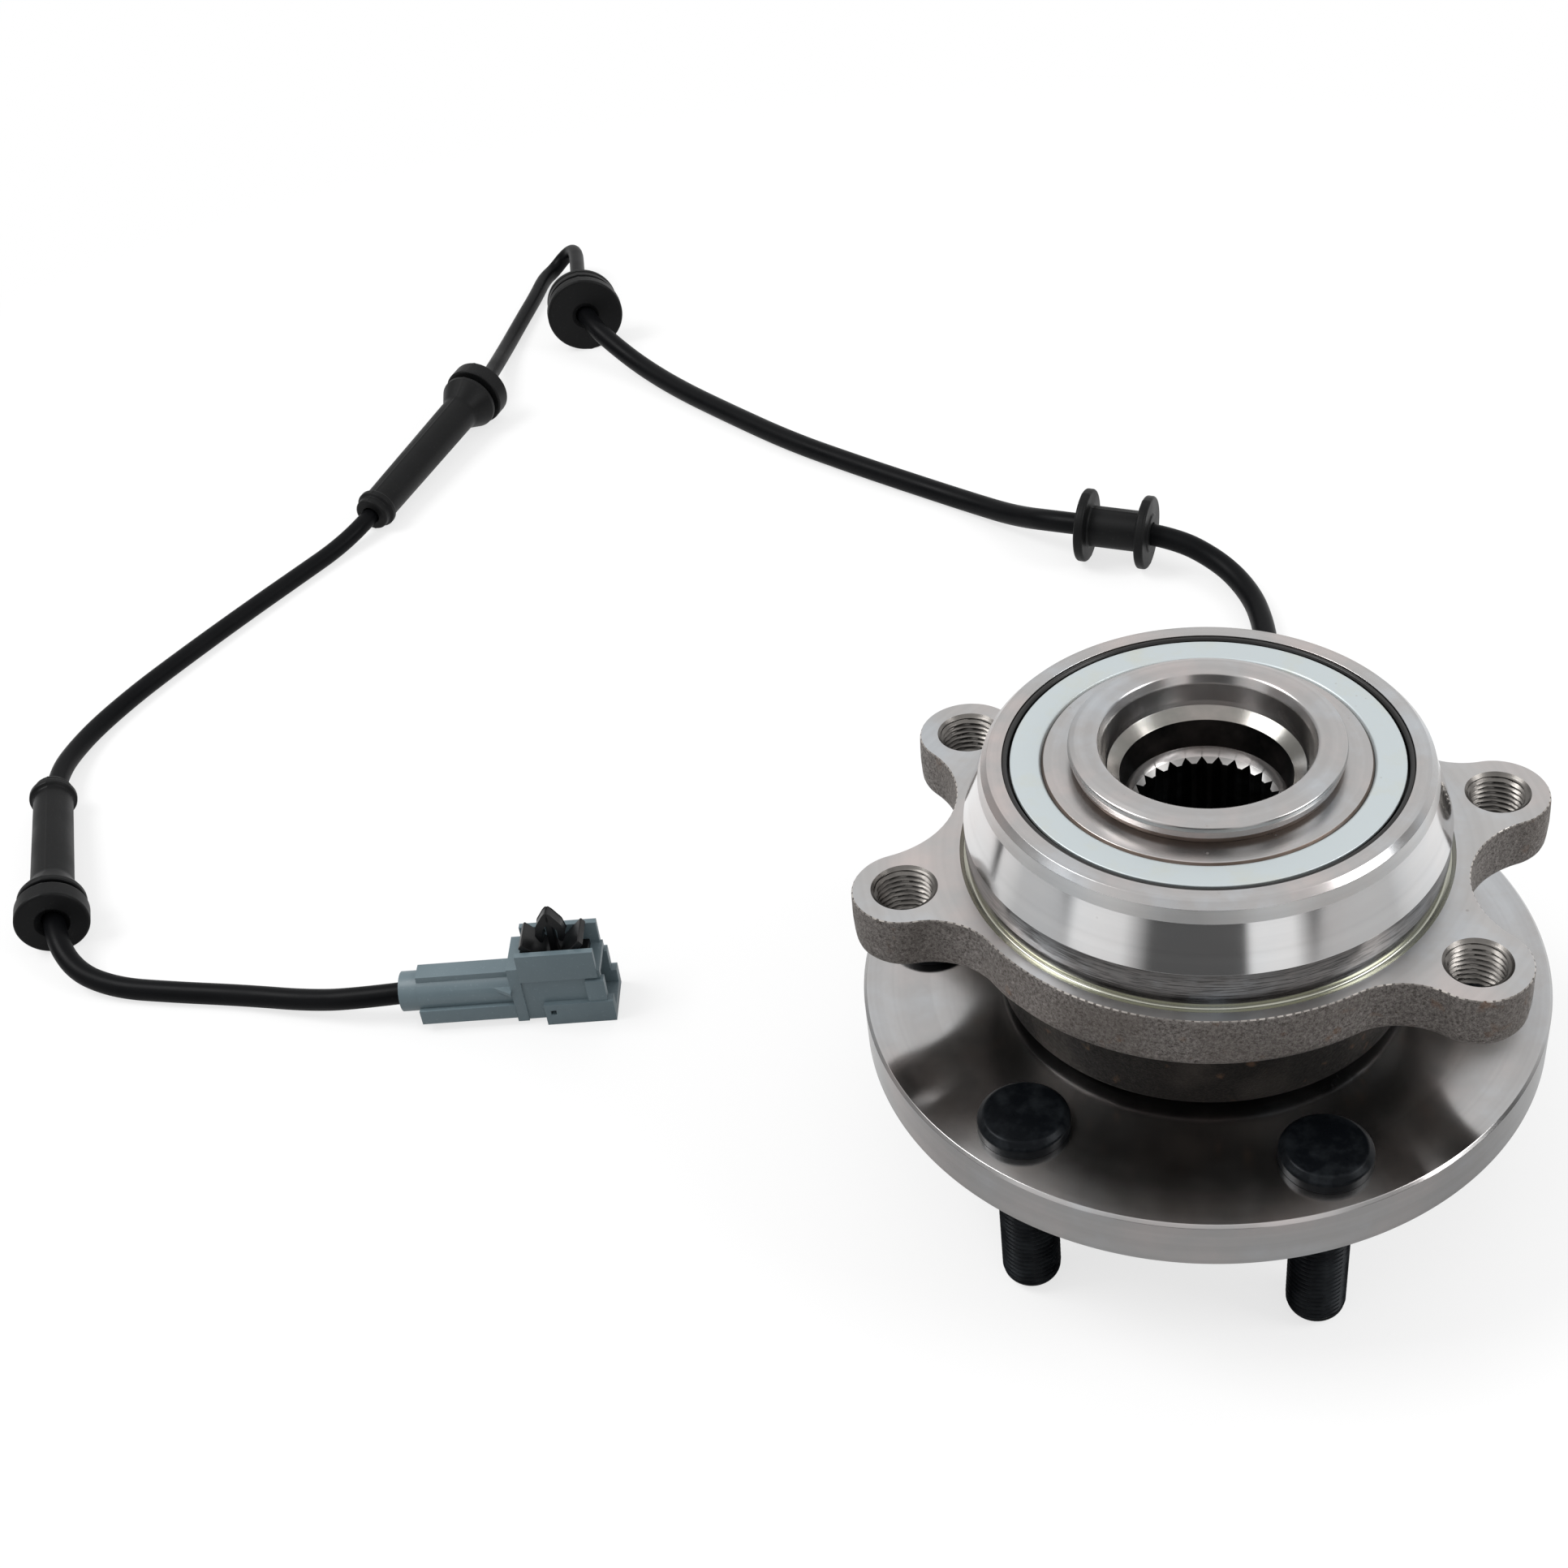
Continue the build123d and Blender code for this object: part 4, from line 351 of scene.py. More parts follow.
@dataclass(frozen=True)
class TurnedSteel:
    """Steel turned or ground round the bearing axis, under a thin oil film."""

    name: str
    base: Colour
    roughness: float
    mark_depth: float = 2e-6
    marks: float = 5200.0
    tint: float = 0.2
    stretch: float = 0.3
    specks: float = 0.1
    streaks: float = 0.12
    dashes: float = 0.0
    dash_scale: Point = (170.0, 170.0, 3400.0)

    def material(self) -> Material:
        """Ring marks in the bump, streaks and tint patches in the colour, specks of rust.

        Returns:
            The material. Its highlights stretch across the ring marks.
        """
        material, graph, surface = new_material(self.name)
        ring = graph.group(turning_marks(), Marks=self.marks)
        film = graph.group(oil_film(), Base=self.base, Amount=self.tint)
        streak = darker(self.base, 0.3)
        streaked = graph.remap(ring["Broad"], 0.38, 0.62, 0.0, self.streaks)
        colour = graph.mix(streaked, film["Color"], streak)
        if self.dashes > 0.0:
            stretched = graph.vector("MULTIPLY", graph.place(), self.dash_scale)
            dash = graph.remap(graph.noise(1.0, 4.0, stretched, 0.6), 0.47, 0.62, 0.0, self.dashes)
            colour = graph.mix(dash, colour, streak)
        rough = self.roughness
        rough = graph.remap(film["Smear"], 0.0, 1.0, rough * 0.9, rough * 1.12)
        metallic = 1.0
        if self.specks > 0.0:
            dots = graph.group(rust_specks(), Cells=330.0)
            dust = graph.math("MULTIPLY", dots["Mask"], self.specks)
            colour = graph.mix(dust, colour, RUST)
            rough = graph.math("ADD", rough, graph.math("MULTIPLY", dust, 0.5))
            metallic = graph.remap(dust, 0.0, 1.0, 1.0, 0.1)
        around = graph.vector("CROSS_PRODUCT", (0.0, 0.0, 1.0), graph.place())
        spaces = {"vector_type": "VECTOR", "convert_from": "OBJECT", "convert_to": "WORLD"}
        graph.fill(
            surface,
            Base_Color=colour,
            Metallic=metallic,
            Roughness=rough,
            Normal=graph.bump(ring["Height"], self.mark_depth),
            Anisotropic=self.stretch,
            Anisotropic_Rotation=ACROSS_THE_MARKS,
            Tangent=graph.add("VectorTransform", spaces, n0=around).outputs[0],
        )
        return material


@dataclass(frozen=True)
class ForgedSkin:
    """Shot-blasted forging scale: coarse bright and dark grains."""

    name: str = "forged_skin"
    dark: Colour = (0.055, 0.048, 0.042, 1.0)
    light: Colour = (0.32, 0.295, 0.28, 1.0)
    patch: Colour = (0.13, 0.11, 0.095, 1.0)
    rust: Colour = (0.19, 0.105, 0.06, 1.0)
    grain: float = 1500.0

    def material(self) -> Material:
        """Two noises of grains in colour and bump, over slow patches and a few rusty ones.

        Returns:
            The material.
        """
        material, graph, surface = new_material(self.name)
        place = graph.place()
        coarse = graph.math("MULTIPLY", graph.noise(self.grain, 5.0, place, 0.7), 0.65)
        fine = graph.math("MULTIPLY", graph.noise(self.grain * 2.7, 3.0, place), 0.35)
        grains = graph.math("ADD", coarse, fine)
        colour = graph.mix(graph.remap(grains, 0.38, 0.64), self.dark, self.light)
        patchy = graph.remap(graph.noise(55.0, 4.0, place), 0.5, 0.75, 0.0, 0.45)
        rusty = graph.remap(graph.noise(240.0, 3.0, place), 0.64, 0.74, 0.0, 0.5)
        graph.fill(
            surface,
            Base_Color=graph.mix(rusty, graph.mix(patchy, colour, self.patch), self.rust),
            Metallic=graph.remap(grains, 0.35, 0.65, 0.45, 0.9),
            Roughness=graph.remap(grains, 0.35, 0.65, 0.72, 0.45),
            Normal=graph.bump(grains, 0.00035, 0.9),
        )
        return material


@dataclass(frozen=True)
class PlatedSteel:
    """Zinc plate: pale, bluish and satin, with faint stains."""

    name: str
    base: Colour = (0.52, 0.57, 0.585, 1.0)
    stain: Colour = (0.53, 0.55, 0.5, 1.0)
    spot: Colour = (0.3, 0.27, 0.22, 1.0)
    roughness: float = 0.42
    metallic: float = 0.55

    def material(self) -> Material:
        """Cloudy stains in the colour and roughness, small spots and a faint ripple.

        Returns:
            The material.
        """
        material, graph, surface = new_material(self.name)
        place = graph.place()
        cloud = graph.noise(120.0, 5.0, place, 0.6)
        colour = graph.mix(graph.remap(cloud, 0.5, 0.72, 0.0, 0.7), self.base, self.stain)
        spots = graph.math("MULTIPLY", graph.group(rust_specks(), Cells=460.0)["Mask"], 0.35)
        low, high = self.roughness - 0.05, self.roughness + 0.08
        graph.fill(
            surface,
            Base_Color=graph.mix(spots, colour, self.spot),
            Metallic=self.metallic,
            Roughness=graph.remap(cloud, 0.3, 0.7, low, high),
            Normal=graph.bump(graph.noise(900.0, 3.0, place), 6e-6),
        )
        return material


@dataclass(frozen=True)
class BlackOxide:
    """Blackened steel of the studs: blue-black, lightly oiled, with rubbed patches."""

    name: str
    base: Colour = (0.004, 0.005, 0.0065, 1.0)
    rubbed: Colour = (0.014, 0.0165, 0.019, 1.0)
    gloss: float = 0.1

    def material(self) -> Material:
        """Cloudy rubbed patches and a fine pitted bump.

        Returns:
            The material.
        """
        material, graph, surface = new_material(self.name)
        place = graph.place()
        cloud = graph.noise(260.0, 5.0, place, 0.6)
        graph.fill(
            surface,
            Base_Color=graph.mix(graph.remap(cloud, 0.45, 0.7), self.base, self.rubbed),
            Metallic=0.3,
            Specular_IOR_Level=self.gloss,
            Roughness=graph.remap(cloud, 0.3, 0.7, 0.26, 0.4),
            Normal=graph.bump(graph.noise(1900.0, 4.0, place), 1.6e-5),
        )
        return material


@dataclass(frozen=True)
class Moulded:
    """Moulded rubber or plastic with a fine grain and a little dust."""

    name: str
    base: Colour
    dust: Colour
    roughness: float
    dusty: float
    grain: float = 2600.0
    grain_depth: float = 1.2e-5
    gloss: float = 0.5

    def material(self) -> Material:
        """Grain bump, cloudy roughness and pale speckle.

        Returns:
            The material.
        """
        material, graph, surface = new_material(self.name)
        grain = graph.group(fine_grain(), Grain=self.grain)
        cloudy = graph.math("MULTIPLY", grain["Cloud"], self.dusty * 0.35)
        speckled = graph.math("MULTIPLY", grain["Speckle"], self.dusty)
        low, high = self.roughness - 0.06, self.roughness + 0.07
        graph.fill(
            surface,
            Base_Color=graph.mix(speckled, graph.mix(cloudy, self.base, self.dust), self.dust),
            Roughness=graph.remap(grain["Cloud"], 0.0, 1.0, low, high),
            Normal=graph.bump(grain["Height"], self.grain_depth),
            Specular_IOR_Level=self.gloss,
        )
        return material


@dataclass(frozen=True)
class PlainMetal:
    """Small metal parts: contacts, winding, balls and sintered iron."""

    name: str
    base: Colour
    roughness: float
    ripple: float = 5e-6

    def material(self) -> Material:
        """Soft tone patches and a faint ripple.

        Returns:
            The material.
        """
        material, graph, surface = new_material(self.name)
        place = graph.place()
        cloud = graph.noise(300.0, 4.0, place)
        shade = darker(self.base, 0.72)
        low, high = self.roughness * 0.8, self.roughness * 1.3
        graph.fill(
            surface,
            Base_Color=graph.mix(graph.remap(cloud, 0.4, 0.7), self.base, shade),
            Metallic=1.0,
            Roughness=graph.remap(cloud, 0.3, 0.7, low, high),
            Normal=graph.bump(graph.noise(2400.0, 3.0, place), self.ripple),
        )
        return material


class Finish(Enum):
    """Every finish of the part. A face's finish number is a place in this list."""

    FLANGE = TurnedSteel(
        "turned_flange", (0.44, 0.433, 0.43, 1.0), 0.16, mark_depth=2.5e-6, marks=3600.0, tint=0.3,
        stretch=0.8, specks=0.0, streaks=0.1,
    )
    FACE = TurnedSteel("faced_steel", (0.455, 0.445, 0.44, 1.0), 0.24, tint=0.5, specks=0.2)
    EAR_FACE = TurnedSteel(
        "ear_face", (0.485, 0.475, 0.47, 1.0), 0.36, tint=0.45, stretch=0.2, specks=0.3
    )
    GROUND = TurnedSteel(
        "ground_steel", (0.70, 0.695, 0.695, 1.0), 0.11, mark_depth=1e-6, marks=9000.0,
        stretch=0.0, streaks=0.08,
    )
    CONE = TurnedSteel(
        "turned_cone", (0.62, 0.615, 0.61, 1.0), 0.42, mark_depth=4e-6, marks=3600.0, tint=0.3
    )
    RELIEF = TurnedSteel(
        "rough_turned", (0.21, 0.203, 0.2, 1.0), 0.22, mark_depth=8e-6, marks=1500.0, tint=0.3,
        streaks=0.4, dashes=0.9,
    )
    UNDERCUT = TurnedSteel("oiled_undercut", (0.42, 0.42, 0.355, 1.0), 0.2, tint=0.15)
    BORE_BLACK = TurnedSteel(
        "bore_black", (0.012, 0.012, 0.012, 1.0), 0.45, mark_depth=4e-6, marks=2600.0, tint=0.1,
        stretch=0.2, specks=0.0,
    )
    BORE_LAND = TurnedSteel("bore_land", (0.22, 0.215, 0.2, 1.0), 0.2, tint=0.25, specks=0.35)
    TOOTH_END = TurnedSteel("tooth_end", (0.3, 0.295, 0.29, 1.0), 0.4, stretch=0.2)
    RING_GAP = TurnedSteel(
        "stained_steel", (0.15, 0.115, 0.095, 1.0), 0.4, mark_depth=4e-6, marks=3600.0,
        stretch=0.2, specks=0.8,
    )
    THREAD = PlainMetal("tapped_thread", (0.17, 0.16, 0.15, 1.0), 0.3, 8e-6)
    FORGED = ForgedSkin()
    # Forged skin of the barrel and the ears' underside, far darker than the ears' flanks: painted
    # shade where the ears and the flange shade it.
    BARREL_PAINTED_SHADE = ForgedSkin("forged_barrel_painted_shade", (0.003, 0.0025, 0.002, 1.0), (0.03, 0.026, 0.023, 1.0))
    BURR = PlainMetal("ear_burr", (0.62, 0.58, 0.54, 1.0), 0.3)
    ZINC = PlatedSteel("zinc_plate")
    SCREW_ZINC = PlatedSteel(
        "zinc_screw", (0.56, 0.57, 0.57, 1.0), (0.5, 0.48, 0.4, 1.0), roughness=0.34, metallic=0.9
    )
    BLACK = BlackOxide("black_oxide")
    STUD_THREAD = BlackOxide("stud_thread", gloss=0.12)
    SEAL = Moulded(
        "seal_rubber", (0.008, 0.0075, 0.0075, 1.0), (0.05, 0.045, 0.04, 1.0), 0.34, 0.12, gloss=0.4
    )
    JACKET = Moulded(
        "cable_jacket", (0.0025, 0.0027, 0.0033, 1.0), (0.03, 0.03, 0.031, 1.0), 0.38, 0.12,
        grain=3200.0, grain_depth=8e-6, gloss=0.07,
    )
    GROMMET = Moulded(
        "grommet_rubber", (0.003, 0.0032, 0.0035, 1.0), (0.04, 0.04, 0.04, 1.0), 0.46, 0.2,
        grain=2400.0, grain_depth=1.4e-5, gloss=0.14,
    )
    CONNECTOR = Moulded(
        "connector_plastic", (0.112, 0.155, 0.175, 1.0), (0.3, 0.36, 0.38, 1.0), 0.4, 0.24,
        grain=3000.0, grain_depth=9e-6, gloss=0.4,
    )
    CLIP = Moulded(
        "clip_plastic", (0.0035, 0.0035, 0.004, 1.0), (0.035, 0.035, 0.037, 1.0), 0.36, 0.12,
        gloss=0.3,
    )
    SENSOR = Moulded("sensor_plastic", (0.01, 0.01, 0.011, 1.0), (0.06, 0.06, 0.06, 1.0), 0.45, 0.3)
    CAGE = Moulded("cage_nylon", (0.62, 0.55, 0.42, 1.0), (0.7, 0.65, 0.55, 1.0), 0.45, 0.3)
    CONTACT = PlainMetal("tinned_contact", (0.7, 0.69, 0.66, 1.0), 0.25)
    BALL = PlainMetal("ball_steel", (0.72, 0.72, 0.73, 1.0), 0.07, 1e-6)
    SINTERED = PlainMetal("sintered_iron", (0.3, 0.29, 0.28, 1.0), 0.5, 2e-5)
    COPPER = PlainMetal("enamelled_copper", (0.6, 0.27, 0.12, 1.0), 0.3)
    MAGNET = PlainMetal("magnet_plate", (0.35, 0.35, 0.36, 1.0), 0.35)

    @property
    def number(self) -> int:
        """Place of the finish in the list."""
        return list(Finish).index(self)

    @cache
    def made(self) -> Material:
        """The finish's material, built at its first use."""
        return self.value.material()


# Surfaces


@dataclass
class Surface:
    """Points in millimetres, four-sided and three-sided faces, and the finish number of each."""

    points: np.ndarray
    quads: np.ndarray
    quad_finish: np.ndarray
    triangles: np.ndarray = field(default_factory=lambda: np.zeros((0, 3), int))
    triangle_finish: np.ndarray = field(default_factory=lambda: np.zeros(0, int))

    @staticmethod
    def joined(parts: Sequence["Surface"]) -> "Surface":
        """All the parts as one surface, with their points numbered on.

        Args:
            parts: the parts.

        Returns:
            The surface.
        """
        starts = np.cumsum([0] + [len(part.points) for part in parts])
        return Surface(
            np.concatenate([part.points for part in parts]),
            np.concatenate([part.quads + start for part, start in zip(parts, starts)]),
            np.concatenate([part.quad_finish for part in parts]),
            np.concatenate([part.triangles + start for part, start in zip(parts, starts)]),
            np.concatenate([part.triangle_finish for part in parts]),
        )

    def moved(self, matrix: np.ndarray, origin: Sequence[float]) -> "Surface":
        """The same surface with point p at origin + matrix p."""
        points = self.points @ matrix.T + np.asarray(origin, float)
        return replace(self, points=points)


def turn_about_z(angle: float) -> np.ndarray:
    """Matrix that turns by an angle in radians about Z."""
    cosine, sine = math.cos(angle), math.sin(angle)
    return np.array([[cosine, -sine, 0.0], [sine, cosine, 0.0], [0.0, 0.0, 1.0]])


def even_angles(count: int) -> np.ndarray:
    """This many angles spread evenly round a turn."""
    return np.linspace(0.0, FULL_TURN, count, endpoint=False)


def circle(angles: np.ndarray, radius: float = 1.0) -> np.ndarray:
    """Points (r cos u, r sin u) at each angle u."""
    return np.stack((np.cos(angles), np.sin(angles)), -1) * radius


def revolved(radius: np.ndarray, angles: np.ndarray, height: np.ndarray) -> np.ndarray:
    """Points (r cos u, r sin u, z) of rows with their radius and height, at each angle u."""
    return np.stack((radius * np.cos(angles), radius * np.sin(angles), height + 0.0 * angles), -1)


@dataclass(frozen=True)
class Thread:
    """Screw thread: the pitch, the depth, and how far its triangle wave is stretched and cut."""

    pitch: float
    depth: float
    stretched: float
    cut: float

    def groove(self, height: np.ndarray, angles: np.ndarray) -> np.ndarray:
        """Depth of the thread's groove.

        It is the depth times a triangle wave of z / pitch - u / turn, stretched, less the cut and
        held between 0 and 1.

        Args:
            height: the height z of each row.
            angles: the angle u of each column.

        Returns:
            The depths.
        """
        wave = np.abs(((height[:, None] / self.pitch - angles / FULL_TURN) % 1.0) * 2.0 - 1.0)
        return self.depth * np.clip(wave * self.stretched - self.cut, 0.0, 1.0)


def grid_surface(
    points: np.ndarray,
    finish: np.ndarray | Finish,
    closed_rows: bool = False,
    closed_columns: bool = True,
) -> Surface:
    """Faces between the neighbours of a grid of points.

    Face (i, j) joins points (i, j), (i, j+1), (i+1, j+1) and (i+1, j), where a closed way wraps
    round.

    Args:
        points: rows x columns x 3.
        finish: the finish, or the finish number of each row of faces.
        closed_rows: whether the last row joins the first.
        closed_columns: whether the last column joins the first.

    Returns:
        The surface.
    """
    rows, columns = points.shape[:2]
    if isinstance(finish, Finish):
        finish = np.full(rows, finish.number)
    row = np.arange(rows if closed_rows else rows - 1)
    column = np.arange(columns if closed_columns else columns - 1)
    i, j = np.meshgrid(row, column, indexing="ij")
    below, right = (i + 1) % rows * columns, (j + 1) % columns
    quads = np.stack((i * columns + j, i * columns + right, below + right, below + j), -1)
    finish = np.repeat(finish[: len(row)], len(column))
    return Surface(points.reshape(-1, 3), quads.reshape(-1, 4), finish)


@dataclass(frozen=True)
class Corner:
    """Corner of a turned profile, rounded by a radius, with the finish of the stretch after it."""

    radius: float
    height: float
    rounding: float = 0.0
    finish: Finish = Finish.FACE


def trace(corners: Sequence[Corner], closed: bool) -> tuple[np.ndarray, np.ndarray]:
    """Profile through the corners, each rounded by an arc that touches both its sides.

    An arc of radius r at a corner of half angle a starts r / tan(a) before the corner. Support
    points stand close to each end of a straight stretch, so that flats shade flat.

    Args:
        corners: the profile's corners in order.
        closed: whether the last corner joins the first.

    Returns:
        Points (radius, height), and the finish number of the stretch after each point.
    """
    places = np.array([(corner.radius, corner.height) for corner in corners])
    count = len(corners)
    chains = []
    for index, corner in enumerate(corners):
        at_end = not closed and index in (0, count - 1)
        here, before, after = places[index], places[index - 1], places[(index + 1) % count]
        if at_end or corner.rounding <= 0.0:
            chains.append([here])
            continue
        back, ahead = before - here, after - here
        shorter = min(np.linalg.norm(back), np.linalg.norm(ahead))
        back, ahead = back / np.linalg.norm(back), ahead / np.linalg.norm(ahead)
        half = math.acos(float(np.clip(back @ ahead, -1.0, 1.0))) / 2.0
        reach = min(corner.rounding / math.tan(half), SIDE_SHARE * shorter)
        radius = reach * math.tan(half)
        middle = (back + ahead) / np.linalg.norm(back + ahead)
        centre = here + middle * (radius / math.sin(half))
        start, end = here + back * reach - centre, here + ahead * reach - centre
        sweep = math.pi - 2.0 * half
        turn = math.copysign(sweep, start[0] * end[1] - start[1] * end[0])
        steps = np.linspace(0.0, turn, ARC_STEPS + 1)
        aside = np.array((-start[1], start[0]))
        arc = [centre + start * math.cos(step) + aside * math.sin(step) for step in steps]
        chains.append(arc)
    points, finishes = [], []
    for index, chain in enumerate(chains):
        finish = corners[index].finish.number
        before = len(chain) // 2
        points.extend(chain)
        finishes.extend([corners[index - 1].finish.number] * before)
        finishes.extend([finish] * (len(chain) - before))
        if index == count - 1 and not closed:
            break
        start, end = chain[-1], chains[(index + 1) % count][0]
        length = float(np.linalg.norm(end - start))
        if length > 4.0 * SUPPORT:
            step = (end - start) / length * SUPPORT
            points.extend([start + step, end - step])
            finishes.extend([finish, finish])
    return np.array(points), np.array(finishes)


def outline_of(corners: Sequence[Corner]) -> np.ndarray:
    """Closed outline through rounded corners."""
    return trace(corners, closed=True)[0]


def lathe(
    corners: Sequence[Corner], columns: int, closed: bool, finish: Finish | None = None
) -> Surface:
    """Surface of revolution of a profile.

    Args:
        corners: the profile's corners.
        columns: number of columns round the turn.
        closed: whether the profile is closed and makes a ring.
        finish: one finish for all of it, in place of the corners' own.

    Returns:
        The surface.
    """
    profile, numbers = trace(corners, closed)
    points = revolved(profile[:, 0, None], even_angles(columns), profile[:, 1, None])
    return grid_surface(points, finish or numbers, closed)


def along(origin: Point, towards: Point) -> tuple[np.ndarray, np.ndarray]:
    """Turns the Z axis onto a direction.

    Args:
        origin: where the axis starts.
        towards: a point that it goes to.

    Returns:
        The rotation matrix, whose columns are a level side, the upward side and the axis; and
        the origin.
    """
    start = np.array(origin, float)
    axis = np.array(towards, float) - start
    axis /= np.linalg.norm(axis)
    side = np.cross((0.0, 0.0, 1.0), axis)
    side /= np.linalg.norm(side)
    return np.stack((side, np.cross(axis, side), axis), -1), start


def make_piece(
    name: str,
    surface: Surface,
    body: Body,
    node: str,
    crease: float,
) -> Piece:
    """Writes a surface as a mesh object that rides on a body.

    Points that coincide are merged, flat slivers are dropped and faces point outwards.

    Args:
        name: the piece's name.
        surface: its surface in millimetres.
        body: the body that it rides on.
        node: the CAD node that it stands for.
        crease: edges sharper than this many degrees shade as creases.

    Returns:
        The object.
    """
    keys = np.round(surface.points / MERGE_DISTANCE).astype(np.int64)
    _, first, merged = np.unique(keys, axis=0, return_index=True, return_inverse=True)
    merged = merged.reshape(-1)
    points = surface.points[first]
    quads, triangles = merged[surface.quads], merged[surface.triangles]
    same = quads == np.roll(quads, -1, axis=1)
    whole = ~same.any(axis=1)
    folded = same.sum(axis=1) == 1
    from_quads = quads[folded][~same[folded]].reshape(-1, 3)
    good = (triangles != np.roll(triangles, -1, axis=1)).all(axis=1)
    quads = quads[whole]
    triangles = np.concatenate((triangles[good], from_quads))
    finish = np.concatenate(
        (
            surface.quad_finish[whole],
            surface.triangle_finish[good],
            surface.quad_finish[folded],
        )
    )
    used, index = np.unique(finish, return_inverse=True)
    corners = np.concatenate((quads.ravel(), triangles.ravel())).astype(np.int32)
    sizes = np.concatenate((np.full(len(quads), 4), np.full(len(triangles), 3)))
    mesh = bpy.data.meshes.new(name)
    mesh.vertices.add(len(points))
    mesh.vertices.foreach_set("co", (points * MM).ravel())
    mesh.loops.add(len(corners))
    mesh.loops.foreach_set("vertex_index", corners)
    mesh.polygons.add(len(sizes))
    mesh.polygons.foreach_set("loop_start", (np.cumsum(sizes) - sizes).astype(np.int32))
    for number in used:
        mesh.materials.append(list(Finish)[number].made())
    mesh.polygons.foreach_set("material_index", index.astype(np.int32))
    mesh.update(calc_edges=True)
    mesh.validate()
    work = bmesh.new()
    work.from_mesh(mesh)
    bmesh.ops.recalc_face_normals(work, faces=work.faces)
    work.to_mesh(mesh)
    work.free()
    return finish_piece(bpy.data.objects.new(name, mesh), body, node, crease)


def finish_piece(piece: Piece, body: Body, node: str, crease: float) -> Piece:
    """Shades a piece, links it to the scene and ties it to its body and CAD node.

    Args:
        piece: the mesh object.
        body: the body that it rides on.
        node: the CAD node that it stands for.
        crease: edges sharper than this many degrees shade as creases.

    Returns:
        The piece.
    """
    piece.data.shade_smooth()
    piece.data.set_sharp_from_angle(angle=math.radians(crease))
    bpy.context.scene.collection.objects.link(piece)
    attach(piece, body.value)
    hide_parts(node)
    LOG.info("%s: %d faces on %s", piece.name, len(piece.data.polygons), body.value)
    return piece


def wear(mesh: bpy.types.Mesh, finish: Finish) -> None:
    """Gives a mesh one finish in place of its own."""
    mesh.materials.clear()
    mesh.materials.append(finish.made())


def dress(finish: Finish, *nodes: str) -> None:
    """Gives CAD nodes that keep their own shape a finish."""
    for node in nodes:
        wear(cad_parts[node].data, finish)
        LOG.info("%s: dressed in %s", node, finish.value.name)


def soften(node: str, name: str, finish: Finish, width: float) -> None:
    """Copies a CAD node and breaks its corners by a small round, and the copy stands for the node.

    Args:
        node: the CAD node.
        name: the new piece's name.
        finish: its finish.
        width: size of the round in millimetres.
    """
    sharp_angle, flat_angle, merge = math.radians(34.0), math.radians(1.0), 2e-6
    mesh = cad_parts[node].data.copy()
    mesh.name = name
    work = bmesh.new()
    work.from_mesh(mesh)
    bmesh.ops.remove_doubles(work, verts=work.verts, dist=merge)
    bmesh.ops.dissolve_limit(work, angle_limit=flat_angle, verts=work.verts, edges=work.edges)
    solid = [edge for edge in work.edges if edge.is_manifold]
    sharp = [edge for edge in solid if edge.calc_face_angle(0.0) > sharp_angle]
    bmesh.ops.bevel(
        work,
        geom=sharp,
        offset=width * MM,
        offset_type="OFFSET",
        segments=3,
        profile=0.5,
        affect="EDGES",
        clamp_overlap=True,
    )
    work.to_mesh(mesh)
    work.free()
    wear(mesh, finish)
    finish_piece(bpy.data.objects.new(name, mesh), Body.HOUSING, node, crease=40.0)


# The hub


